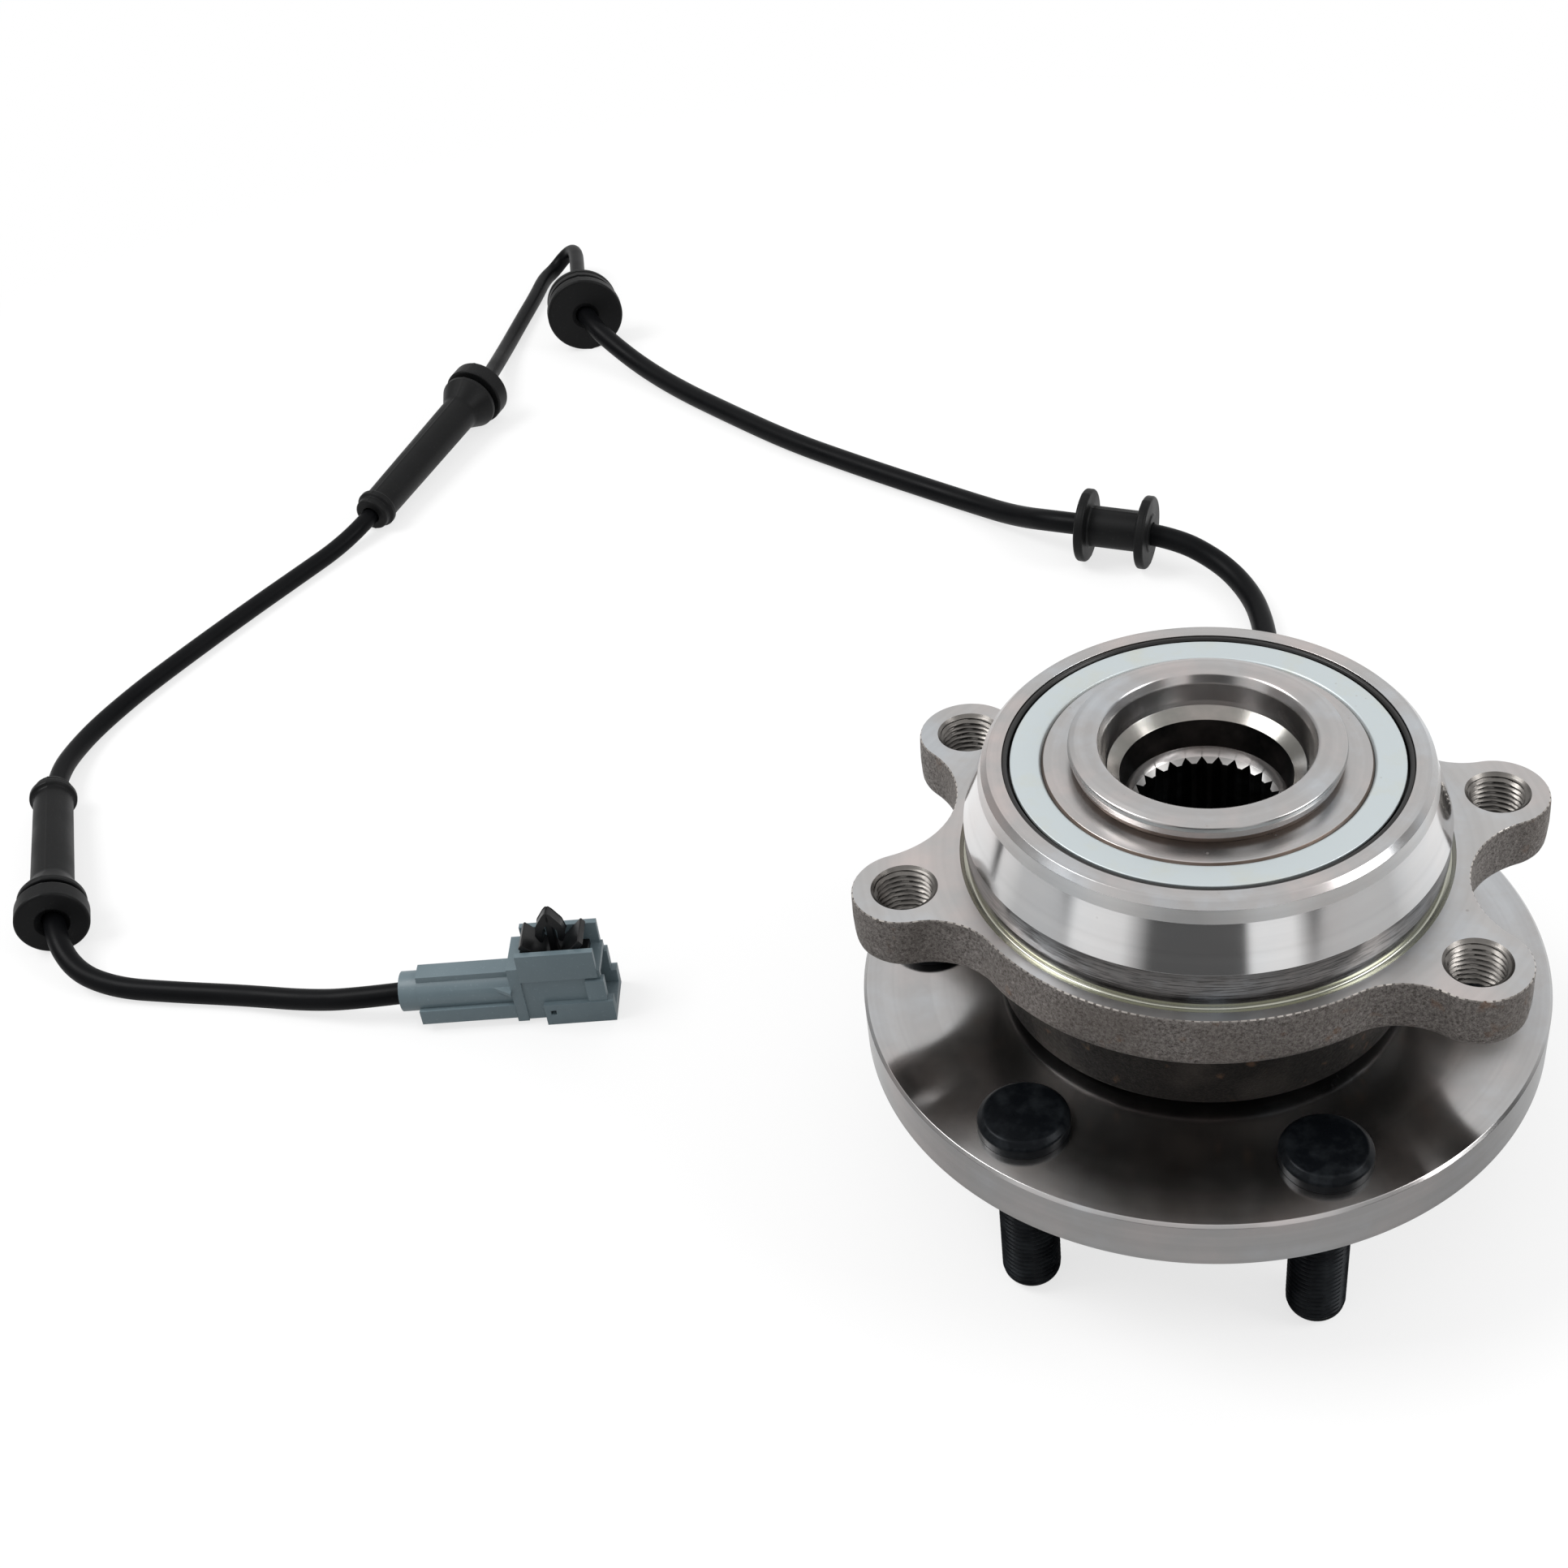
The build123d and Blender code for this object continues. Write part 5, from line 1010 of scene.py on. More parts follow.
@dataclass
class HubSpindle:
    """Wheel flange, rolled rim and splined bore, turned about the bearing axis."""

    flange_radius: float = 70.0
    flange_bottom: float = 33.0
    flange_top: float = 44.0
    edge_break: float = 0.6
    lock_neck: float = 31.5
    race_radius: float = 28.5
    seat_radius: float = 23.5
    seat_bottom: float = 75.5
    spline_teeth: int = 28
    spline_major: float = 14.75
    spline_minor: float = 13.7
    spline_bottom: float = 43.02
    spline_top: float = 86.0
    tooth_tip: float = 85.1
    land_half: float = 0.155
    gap_half: float = 0.488
    bore_radius: float = 15.9
    bore_top: float = 87.7

    def profile(self) -> list[Corner]:
        """Half section, from the pilot round the outside and down the bore.

        Returns:
            Its corners, each with the finish of the stretch after it.
        """
        turned, face, gap = Finish.FLANGE, Finish.FACE, Finish.RING_GAP
        outside, top, edge = self.flange_radius, self.flange_top, self.edge_break
        return [
            Corner(25.0, 21.0, 0.3, turned),
            Corner(32.05, 21.0, 0.2, turned),
            Corner(33.05, 22.0, 0.2, turned),
            Corner(33.05, 28.0, 0.1, turned),
            Corner(34.0, 28.0, 0.3, turned),
            Corner(34.0, self.flange_bottom, 0.2, turned),
            Corner(outside - edge, self.flange_bottom, 0.15, turned),
            Corner(outside, self.flange_bottom + edge, 0.15, turned),
            Corner(outside, top - edge, 0.15, turned),
            Corner(outside - edge, top, 0.15, turned),
            Corner(self.lock_neck, top, 2.2, turned),
            Corner(self.lock_neck, 51.3, 0.0, turned),
            Corner(27.3, 55.0, 0.0, turned),
            Corner(27.3, 60.0, 0.0, turned),
            Corner(self.race_radius, 62.0, 0.0, turned),
            Corner(self.race_radius, self.seat_bottom, 0.0, turned),
            Corner(self.seat_radius, self.seat_bottom, 0.0, turned),
            Corner(self.seat_radius, 97.75, 0.0, gap),
            Corner(25.5, 97.75, 0.3, gap),
            Corner(26.0, 99.1, 0.8, face),
            Corner(26.45, 100.7, 0.6, face),
            Corner(26.3, 101.75, 0.5, face),
            Corner(25.1, 102.15, 0.8, face),
            Corner(20.9, 102.15, 0.9, face),
            Corner(20.0, 100.2, 2.5, face),
            Corner(19.25, 96.6, 1.0, face),
            Corner(18.95, 95.6, 0.1, Finish.BORE_LAND),
            Corner(16.6, 93.7, 0.1, Finish.BORE_BLACK),
            Corner(self.bore_radius, self.bore_top, 0.0, face),
        ]

    def bore_profile(self) -> list[Corner]:
        """Section of the bore below the spline's teeth.

        Returns:
            Its corners.
        """
        return [
            Corner(self.spline_major, self.spline_bottom),
            Corner(16.75, 41.0, 0.2),
            Corner(25.0, 41.0, 0.5),
        ]

    def tooth_radius(self, angles: np.ndarray) -> np.ndarray:
        """Radius of the spline at each angle.

        It is the minor radius on a tooth's land, and falls off in straight flanks to a pointed gap.

        Args:
            angles: the angles.

        Returns:
            The radii.
        """
        phase = np.abs((angles * self.spline_teeth / FULL_TURN) % 1.0 - 0.5)
        gap = np.clip((phase - self.land_half) / (self.gap_half - self.land_half), 0.0, 1.0)
        return self.spline_minor + (self.spline_major - self.spline_minor) * gap

    def column_angles(self) -> np.ndarray:
        """Angles of the columns, with one on each corner of every tooth.

        Returns:
            The angles, from 0 to a whole turn.
        """
        marks = np.array([0.012, 0.1, 0.22, 0.345, 0.42, 0.5, 0.58, 0.655, 0.78, 0.9, 0.988, 1.0])
        teeth = np.arange(self.spline_teeth)[:, None]
        return ((teeth + marks) / self.spline_teeth * FULL_TURN).ravel()

    def build(self) -> Piece:
        """Lathe surface whose bore rows follow the teeth.

        The teeth end on a cone: at radius r their ends stand (major - r) times the slope below the
        spline's top.

        Returns:
            The piece.
        """
        angles = self.column_angles()
        outer, outer_finish = trace(self.profile(), closed=False)
        bore, bore_finish = trace(self.bore_profile(), closed=False)
        teeth = self.tooth_radius(angles)
        slope = (self.spline_top - self.tooth_tip) / (self.spline_major - self.spline_minor)
        tooth_end = self.spline_top - (self.spline_major - teeth) * slope
        level = np.ones_like(angles)
        rows = [
            *outer[:, :, None] * level,
            (self.spline_major * level, self.spline_top * level),
            (teeth, tooth_end),
            (teeth, self.spline_bottom * level),
            *bore[1:, :, None] * level,
        ]
        radius, height = np.stack(rows, axis=1)
        spline = [Finish.TOOTH_END.number, Finish.BORE_BLACK.number, Finish.FACE.number]
        finish = np.concatenate((outer_finish, spline, bore_finish[1:]))
        surface = grid_surface(revolved(radius, angles, height), finish, closed_rows=True)
        return make_piece(
            "hub_flange", surface, Body.HUB, "hub_spindle", crease=28.0
        )


@dataclass
class WheelStuds:
    """Six studs with a threaded shank and a round head."""

    count: int = 6
    pitch_radius: float = 57.15
    phase: float = math.radians(3.27)
    shank_radius: float = 5.95
    thread: Thread = Thread(pitch=1.25, depth=0.7, stretched=1.25, cut=0.12)
    thread_start: float = 2.2
    thread_fade: float = 2.0
    tip_rounding: float = 3.6
    flange_bottom: float = 33.0
    head_bottom: float = 44.0
    head_top: float = 47.5
    head_radius: float = 9.0
    neck_radius: float = 6.3
    crease: float = 50.0
    columns: int = 48
    rows_per_turn: int = 9

    def shank(self, angles: np.ndarray) -> tuple[np.ndarray, np.ndarray]:
        """Threaded shank from the tip to the flange.

        The radius is the shank's radius less the thread's groove, which fades in over the tip, and
        the tip closes with a round.

        Args:
            angles: the columns' angles.

        Returns:
            The rows' heights, and the radius at each row and column.
        """
        row = self.thread.pitch / self.rows_per_turn
        heights = np.arange(0.0, self.flange_bottom + 0.5, row)
        rise = np.clip(heights / self.tip_rounding, 0.0, 1.0)
        tip = self.shank_radius - self.tip_rounding * (1.0 - np.sqrt(1.0 - (1.0 - rise) ** 2))
        fade = np.clip((heights - self.thread_start) / self.thread_fade, 0.0, 1.0)[:, None]
        return heights, tip[:, None] - self.thread.groove(heights, angles) * fade

    def build(self) -> Piece:
        """One stud as a grid of heights and angles, repeated round the stud circle.

        Returns:
            The piece.
        """
        angles = even_angles(self.columns)
        heights, radii = self.shank(angles)
        rim = self.head_radius
        head = [
            Corner(self.neck_radius, self.flange_bottom + 0.6),
            Corner(self.neck_radius, self.head_bottom - 0.2),
            Corner(rim - 0.1, self.head_bottom - 0.15),
            Corner(rim, self.head_bottom + 0.1, 0.05),
            Corner(rim, self.head_top - 1.35, 0.9),
            Corner(rim - 1.25, self.head_top - 0.12, 0.9),
            Corner(3.5, self.head_top, 0.5),
            Corner(0.0, self.head_top),
        ]
        top, _ = trace(head, closed=False)
        level = np.ones_like(angles)
        radii = np.concatenate((0.0 * level[None], radii, top[:, 0, None] * level))
        heights = np.concatenate((heights[:1], heights, top[:, 1]))
        on_shank = heights < self.flange_bottom
        finish = np.where(on_shank, Finish.STUD_THREAD.number, Finish.BLACK.number)
        stud = grid_surface(revolved(radii, angles, heights[:, None]), finish)
        turns = self.phase + even_angles(self.count)
        centres = np.column_stack((circle(turns, self.pitch_radius), np.zeros(self.count)))
        studs = [stud.moved(turn_about_z(turn * 2.0), at) for turn, at in zip(turns, centres)]
        surface = Surface.joined(studs)
        return make_piece("stud_set", surface, Body.HUB, "wheel_studs", self.crease)


# The outer ring


@dataclass
class EarOutline:
    """Closed outline of the mounting ears: four bosses joined by arcs, and the sensor's pad."""

    hole_x: float = 54.4
    hole_y: float = 25.0
    boss_radius: float = 10.3
    waist: float = 51.2
    body_radius: float = 50.6
    neck_radius: float = 14.0
    pad_left: float = -22.0
    pad_right: float = 10.0
    pad_reach: float = 53.0
    pad_rounding: float = 1.2
    foot_rounding: float = 1.5
    step: float = 0.55

    def arc(self, centre: np.ndarray, start: np.ndarray, end: np.ndarray) -> np.ndarray:
        """Points on the shorter arc about a centre.

        Args:
            centre: the arc's centre.
            start: its first point.
            end: its last point, which is left out.

        Returns:
            The points.
        """
        radius = float(np.linalg.norm(start - centre))
        first = math.atan2(*(start - centre)[::-1])
        turn = (math.atan2(*(end - centre)[::-1]) - first + math.pi) % FULL_TURN - math.pi
        count = max(3, int(abs(turn) * radius / self.step))
        return centre + circle(first + np.linspace(0.0, turn, count, endpoint=False), radius)

    def quarter(self) -> np.ndarray:
        """From the waist on the X axis, round the boss and the neck, to the body on the Y axis.

        Returns:
            The points.
        """
        boss = np.array((self.hole_x, self.hole_y))
        drop = self.waist - self.boss_radius
        waist_x = (boss @ boss - drop**2) / (2.0 * (self.hole_x - drop))
        hollow = np.array((waist_x, 0.0))
        reach = self.body_radius + self.neck_radius
        distance = float(np.hypot(*boss))
        gap = self.boss_radius + self.neck_radius
        cosine = (distance**2 + reach**2 - gap**2) / (2.0 * distance * reach)
        neck_angle = math.atan2(self.hole_y, self.hole_x) + math.acos(cosine)
        neck = circle(np.array(neck_angle), reach)
        to_waist = boss + (hollow - boss) / np.linalg.norm(hollow - boss) * self.boss_radius
        to_neck = boss + (neck - boss) / np.linalg.norm(neck - boss) * self.boss_radius
        to_body = neck / np.linalg.norm(neck) * self.body_radius
        far = boss + boss / distance * self.boss_radius
        top = np.array((0.0, self.body_radius))
        arcs = (
            (hollow, np.array((self.waist, 0.0)), to_waist),
            (boss, to_waist, far),
            (boss, far, to_neck),
            (neck, to_neck, to_body),
            (np.zeros(2), to_body, top),
        )
        return np.concatenate([*(self.arc(*arc) for arc in arcs), top[None]])

    def points(self) -> np.ndarray:
        """Whole outline, anticlockwise, with the pad's corners in place of the arc behind it.

        Returns:
            The points.
        """
        quarter = self.quarter()
        upper = np.concatenate((quarter[:-1], quarter[::-1] * (-1.0, 1.0)))
        outline = np.concatenate((upper, upper[::-1][1:-1] * (1.0, -1.0)))
        x, y = outline.T
        left, right = self.pad_left, self.pad_right
        behind = (y > 0.0) & (x > left) & (x < right)
        foot = {at: math.sqrt(self.body_radius**2 - at**2) for at in (left, right)}
        first = int(np.argmax(behind))
        last = first + int(behind.sum())
        line, _ = trace(
            [
                Corner(*outline[first - 1]),
                Corner(right, foot[right], self.foot_rounding),
                Corner(right, self.pad_reach, self.pad_rounding),
                Corner(left, self.pad_reach, self.pad_rounding),
                Corner(left, foot[left], self.foot_rounding),
                Corner(*outline[last]),
            ],
            closed=False,
        )
        return np.concatenate((outline[: first - 1], line, outline[last + 1 :]))


def outward(outline: np.ndarray) -> np.ndarray:
    """Unit normals of a closed anticlockwise outline.

    Each is square to the chord between the point's neighbours.

    Args:
        outline: the outline's points.

    Returns:
        The normals.
    """
    chord = np.roll(outline, -1, axis=0) - np.roll(outline, 1, axis=0)
    normal = np.stack((chord[:, 1], -chord[:, 0]), -1)
    return normal / np.linalg.norm(normal, axis=1)[:, None]


def inside(points: np.ndarray, outline: np.ndarray) -> np.ndarray:
    """Whether each point is inside a closed outline, by counting the edges to its right.

    Args:
        points: the points.
        outline: the outline's points.

    Returns:
        The answers.
    """
    x, y = points[:, 0, None], points[:, 1, None]
    x0, y0 = outline.T
    x1, y1 = np.roll(outline, -1, axis=0).T
    crosses = (y0 > y) != (y1 > y)
    rise = np.where(y1 == y0, 1.0, y1 - y0)
    return (crosses & (x < (x1 - x0) * (y - y0) / rise + x0)).sum(axis=1) % 2 == 1


def flat_face(loops: Sequence[np.ndarray], height: float, finish: Finish) -> Surface:
    """Level face between an outline and the holes in it.

    The loops are the edges of a constrained triangulation, and only the triangles inside the
    first loop and outside all others stay.

    Args:
        loops: the outline first, then the holes.
        height: the face's height.
        finish: its finish.

    Returns:
        The face.
    """
    points = [Vector(point) for loop in loops for point in loop]
    edges, start = [], 0
    for loop in loops:
        edges += [(start + i, start + (i + 1) % len(loop)) for i in range(len(loop))]
        start += len(loop)
    flat, _, faces, _, _, _ = delaunay_2d_cdt(points, edges, [], 0, 1e-7)
    flat = np.array([tuple(point) for point in flat])
    triangles = np.array([tuple(face) for face in faces])
    middles = flat[triangles].mean(axis=1)
    keep = inside(middles, loops[0])
    for hole in loops[1:]:
        keep &= ~inside(middles, hole)
    points = np.column_stack((flat, np.full(len(flat), height)))
    triangles = triangles[keep]
    finishes = np.full(len(triangles), finish.number)
    return Surface(points, np.zeros((0, 4), int), np.zeros(0, int), triangles, finishes)


@dataclass
class OuterRing:
    """Forged ring with four threaded ears and a ground spigot."""

    bottom: float = 46.5
    ear_bottom: float = 65.5
    ear_top: float = 77.0
    top: float = 98.25
    barrel_radius: float = 42.03
    root_radius: float = 45.03
    pilot_radius: float = 47.033
    pilot_top: float = 85.0
    relief: float = 0.6
    groove_mouth: float = 48.233
    groove_floor: float = 47.533
    groove_z: float = 76.3
    hole_x: float = 54.4
    hole_y: float = 25.0
    hole_radius: float = 6.0
    hole_break: float = 0.55
    thread: Thread = Thread(pitch=1.25, depth=0.68, stretched=1.3, cut=0.2)
    thread_start: float = 0.35
    thread_fade: float = 0.5
    rows_per_turn: int = 10
    chamfer_slope: float = 1.1
    seat_radius: float = 39.033
    race_radius: float = 36.8
    skin_wobble: float = 0.07
    burr_step: int = 3
    burr_share: int = 2
    columns: int = 384
    hole_columns: int = 72

    def profile(self) -> list[Corner]:
        """Open section from the ears' underside, down the barrel, up the bore and over the spigot.

        Returns:
            Its corners, each with the finish of the stretch after it.
        """
        seat, race, pilot = self.seat_radius, self.race_radius, self.pilot_radius
        waist = pilot - self.relief
        return [
            # The ears' underside and the barrel take the darkened forged skin: painted shade under
            # the ears.
            Corner(self.root_radius, self.ear_bottom, 0.0, Finish.BARREL_PAINTED_SHADE),
            Corner(self.barrel_radius, self.ear_bottom, 2.6, Finish.BARREL_PAINTED_SHADE),
            Corner(self.barrel_radius, self.bottom, 0.7),
            Corner(seat, self.bottom, 0.2),
            Corner(seat, 57.5),
            Corner(race, 62.3),
            Corner(race, 81.2),
            Corner(seat, 86.0),
            Corner(seat, self.top, 0.12),
            Corner(41.97, self.top, 0.12),
            Corner(43.133, 97.0, 0.2, Finish.CONE),
            Corner(43.833, 94.4, 0.12, Finish.GROUND),
            Corner(pilot, self.pilot_top, 0.25, Finish.RELIEF),
            Corner(pilot, 80.0, 0.08, Finish.RELIEF),
            Corner(waist, 79.6, 0.15, Finish.RELIEF),
            Corner(waist, 77.4, 0.0, Finish.UNDERCUT),
            Corner(waist, self.groove_z, 0.5, Finish.UNDERCUT),
            Corner(self.groove_floor, self.groove_z, 0.3),
            Corner(self.groove_mouth, self.ear_top),
        ]

    def sides(self, outline: np.ndarray) -> Surface:
        """Forged flank of the ears.

        Row k lies at a fraction of the thickness, offset outwards by a draft that is largest at the
        parting line, plus a slow sum of sines along the outline that keeps the skin uneven. Most of
        the last row's faces are bright, as a burr.

        Args:
            outline: the ears' outline.

        Returns:
            The flank.
        """
        levels = (
            (0.0, -1.1), (0.02, -0.62), (0.06, -0.28), (0.11, -0.1), (0.2, 0.0), (0.35, 0.08),
            (0.5, 0.14), (0.65, 0.1), (0.8, 0.04), (0.9, 0.0), (0.955, -0.02), (0.98, -0.08),
            (1.0, -0.27),
        )
        waves = ((1.0, 17.0, 0.0), (1.0, 31.0, 1.3), (0.8, 53.0, 2.1))
        fraction, draft = np.array(levels).T
        length = np.cumsum(np.linalg.norm(np.roll(outline, -1, axis=0) - outline, axis=1))
        turn = FULL_TURN * length / length[-1]
        wobble = sum(size * np.sin(count * turn + phase) for size, count, phase in waves)
        calm = np.minimum(1.0, np.minimum(fraction, 1.0 - fraction) * 8.0)
        offset = draft[:, None] + self.skin_wobble * wobble * calm[:, None]
        flat = outline[None] + outward(outline)[None] * offset[..., None]
        height = self.ear_bottom + (self.ear_top - self.ear_bottom) * fraction
        height = np.repeat(height[:, None, None], len(outline), axis=1)
        surface = grid_surface(np.concatenate((flat, height), axis=-1), Finish.FORGED)
        bright = np.arange(len(outline)) % self.burr_step < self.burr_share
        surface.quad_finish[-len(outline) :][bright] = Finish.BURR.number
        return surface

    def hole(self, x: float, y: float) -> Surface:
        """Tapped hole with both mouths chamfered.

        The radius is the thread's outer one less a groove that fades out at both mouths.

        Args:
            x: the hole's place along X.
            y: its place along Y.

        Returns:
            The hole's wall.
        """
        angles = even_angles(self.hole_columns)
        thickness = self.ear_top - self.ear_bottom
        rows = int(thickness / self.thread.pitch * self.rows_per_turn)
        depth = np.linspace(0.0, thickness, rows)
        height = self.ear_top - depth
        mouth = self.hole_radius + self.hole_break
        edge = np.minimum(depth, thickness - depth)[:, None]
        fade = np.clip((edge - self.thread_start) / self.thread_fade, 0.0, 1.0)
        cone = np.maximum(mouth - edge * self.chamfer_slope, self.hole_radius - self.thread.depth)
        wall = self.hole_radius - self.thread.groove(height, angles) * fade
        radius = np.minimum(wall, np.maximum(cone, self.hole_radius))
        radius = np.where(edge < self.hole_break, np.maximum(radius, cone), radius)
        radius[[0, -1]] = mouth
        points = revolved(radius, angles, height[:, None]) + (x, y, 0.0)
        return grid_surface(points, Finish.THREAD)

    def build(self) -> Piece:
        """Joins the turned body, the ears' two faces, their flank and the tapped holes.

        Returns:
            The piece.
        """
        outline = EarOutline(hole_x=self.hole_x, hole_y=self.hole_y).points()
        flank = self.sides(outline)
        rows = flank.points.reshape(-1, len(outline), 3)
        mouth = circle(even_angles(self.hole_columns), self.hole_radius + self.hole_break)
        centres = [(sx * self.hole_x, sy * self.hole_y) for sx in (1, -1) for sy in (1, -1)]
        mouths = [mouth + centre for centre in centres]
        parts = [lathe(self.profile(), self.columns, closed=False), flank]
        for row, inner, height, finish in (
            (rows[-1], self.groove_mouth, self.ear_top, Finish.EAR_FACE),
            (rows[0], self.root_radius, self.ear_bottom, Finish.FORGED),
        ):
            ring = circle(even_angles(self.columns), inner)
            parts.append(flat_face([row[:, :2], ring, *mouths], height, finish))
        surface = Surface.joined([*parts, *(self.hole(*centre) for centre in centres)])
        return make_piece(
            "bearing_ring", surface, Body.HOUSING, "outer_ring", crease=30.0
        )


# The sealed end


@dataclass
class SealedEnd:
    """Inner ring, zinc slinger and rubber-edged seal that show inside the spigot."""

    columns: int = 320

    def build(self) -> None:
        """Makes the three closed rings from their sections."""
        inner = [
            Corner(28.5, 81.2),
            Corner(28.5, 75.5, 0.3),
            Corner(23.5, 75.5, 0.3),
            Corner(23.5, 97.8, 0.2),
            Corner(31.1, 97.8, 0.3, Finish.RING_GAP),
            Corner(31.5, 97.2, 0.2),
            Corner(31.5, 92.0),
            Corner(28.8, 90.2),
            Corner(27.0, 86.0),
        ]
        slinger = [
            Corner(31.55, 93.2, 0.1),
            Corner(32.3, 93.2, 0.1),
            Corner(32.3, 97.0, 0.5),
            Corner(37.5, 97.0, 0.25),
            Corner(37.5, 97.82, 0.25),
            Corner(31.95, 97.82, 0.55),
            Corner(31.55, 97.1, 0.2),
        ]
        case = [
            Corner(33.4, 92.6, 0.1),
            Corner(39.033, 92.6, 0.2),
            Corner(39.033, 98.0, 0.35),
            Corner(38.3, 98.12, 0.3),
            Corner(37.96, 97.6, 0.2),
            Corner(37.96, 93.4, 0.2),
            Corner(33.4, 93.4, 0.1),
        ]
        hub, housing = Body.HUB, Body.HOUSING
        for name, section, finish, body, slot, node in (
            ("inner_race_ring", inner, None, hub, "bearing_steel", "inner_ring"),
            ("slinger_ring", slinger, Finish.ZINC, hub, "zinc_plate", "inboard_slinger"),
            ("seal_edge_ring", case, Finish.SEAL, housing, "seal_rubber", "inboard_seal_case"),
        ):
            surface = lathe(section, self.columns, closed=True, finish=finish)
            make_piece(name, surface, body, node, crease=30.0)


# The lead


@dataclass
class LeadCord:
    """Stretch of the lead as a smooth curve along its given route."""

    name: str
    node: str
    radius: float
    length: float
    route: Sequence[Point]

    def build(self) -> Piece:
        """Round tube on one NURBS spline with the route as control points.

        Returns:
            The cord, which stands for its CAD node.
        """
        curve = bpy.data.curves.new(self.name, "CURVE")
        curve.dimensions = "3D"
        spline = curve.splines.new("NURBS")
        spline.points.add(len(self.route) - 1)
        weighted = [(x * MM, y * MM, z * MM, 1.0) for x, y, z in self.route]
        spline.points.foreach_set("co", np.array(weighted).ravel())
        spline.order_u = 3
        spline.use_endpoint_u = True
        spline.resolution_u = 12
        curve.bevel_depth = self.radius * MM
        curve.bevel_resolution = 8
        curve.use_fill_caps = True
        curve.materials.append(Finish.JACKET.made())
        cord = bpy.data.objects.new(self.name, curve)
        bpy.context.scene.collection.objects.link(cord)
        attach(cord, Body.HOUSING.value)
        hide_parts(self.node)
        LOG.info("%s: cord of %.1f mm on %s", self.name, 2.0 * self.radius, Body.HOUSING.value)
        return cord


@dataclass
class Grommet:
    """Rubber grommet turned about its own axis on the lead."""

    name: str
    node: str
    start: Point
    towards: Point
    section: Sequence[Corner]
    columns: int
    seam: float
    seam_width: float = 0.05

    def build(self) -> Piece:
        """Closed ring of the section, with a thin raised moulding seam on two sides.

        The seam raises the radius by its height times a narrow bell of the angle, at two opposite
        angles.

        Returns:
            The piece.
        """
        profile, _ = trace(self.section, closed=True)
        angles = even_angles(self.columns)
        radius, height = profile[:, :1], profile[:, 1:]
        bell = np.exp(-((np.cos(angles) / self.seam_width) ** 2))
        radius = radius + self.seam * bell * (radius > radius.min() + 1.0)
        surface = grid_surface(revolved(radius, angles, height), Finish.GROMMET, closed_rows=True)
        surface = surface.moved(*along(self.start, self.towards))
        return make_piece(
            self.name, surface, Body.HOUSING, self.node, crease=34.0
        )


@dataclass(frozen=True)
class Sleeve:
    """Long sleeve: its place, its length, the head's height, and the radius of each part."""

    face: Point
    tail: Point
    length: float
    head: float
    head_height: float
    flange: float
    root: float
    tip: float
    bead: float


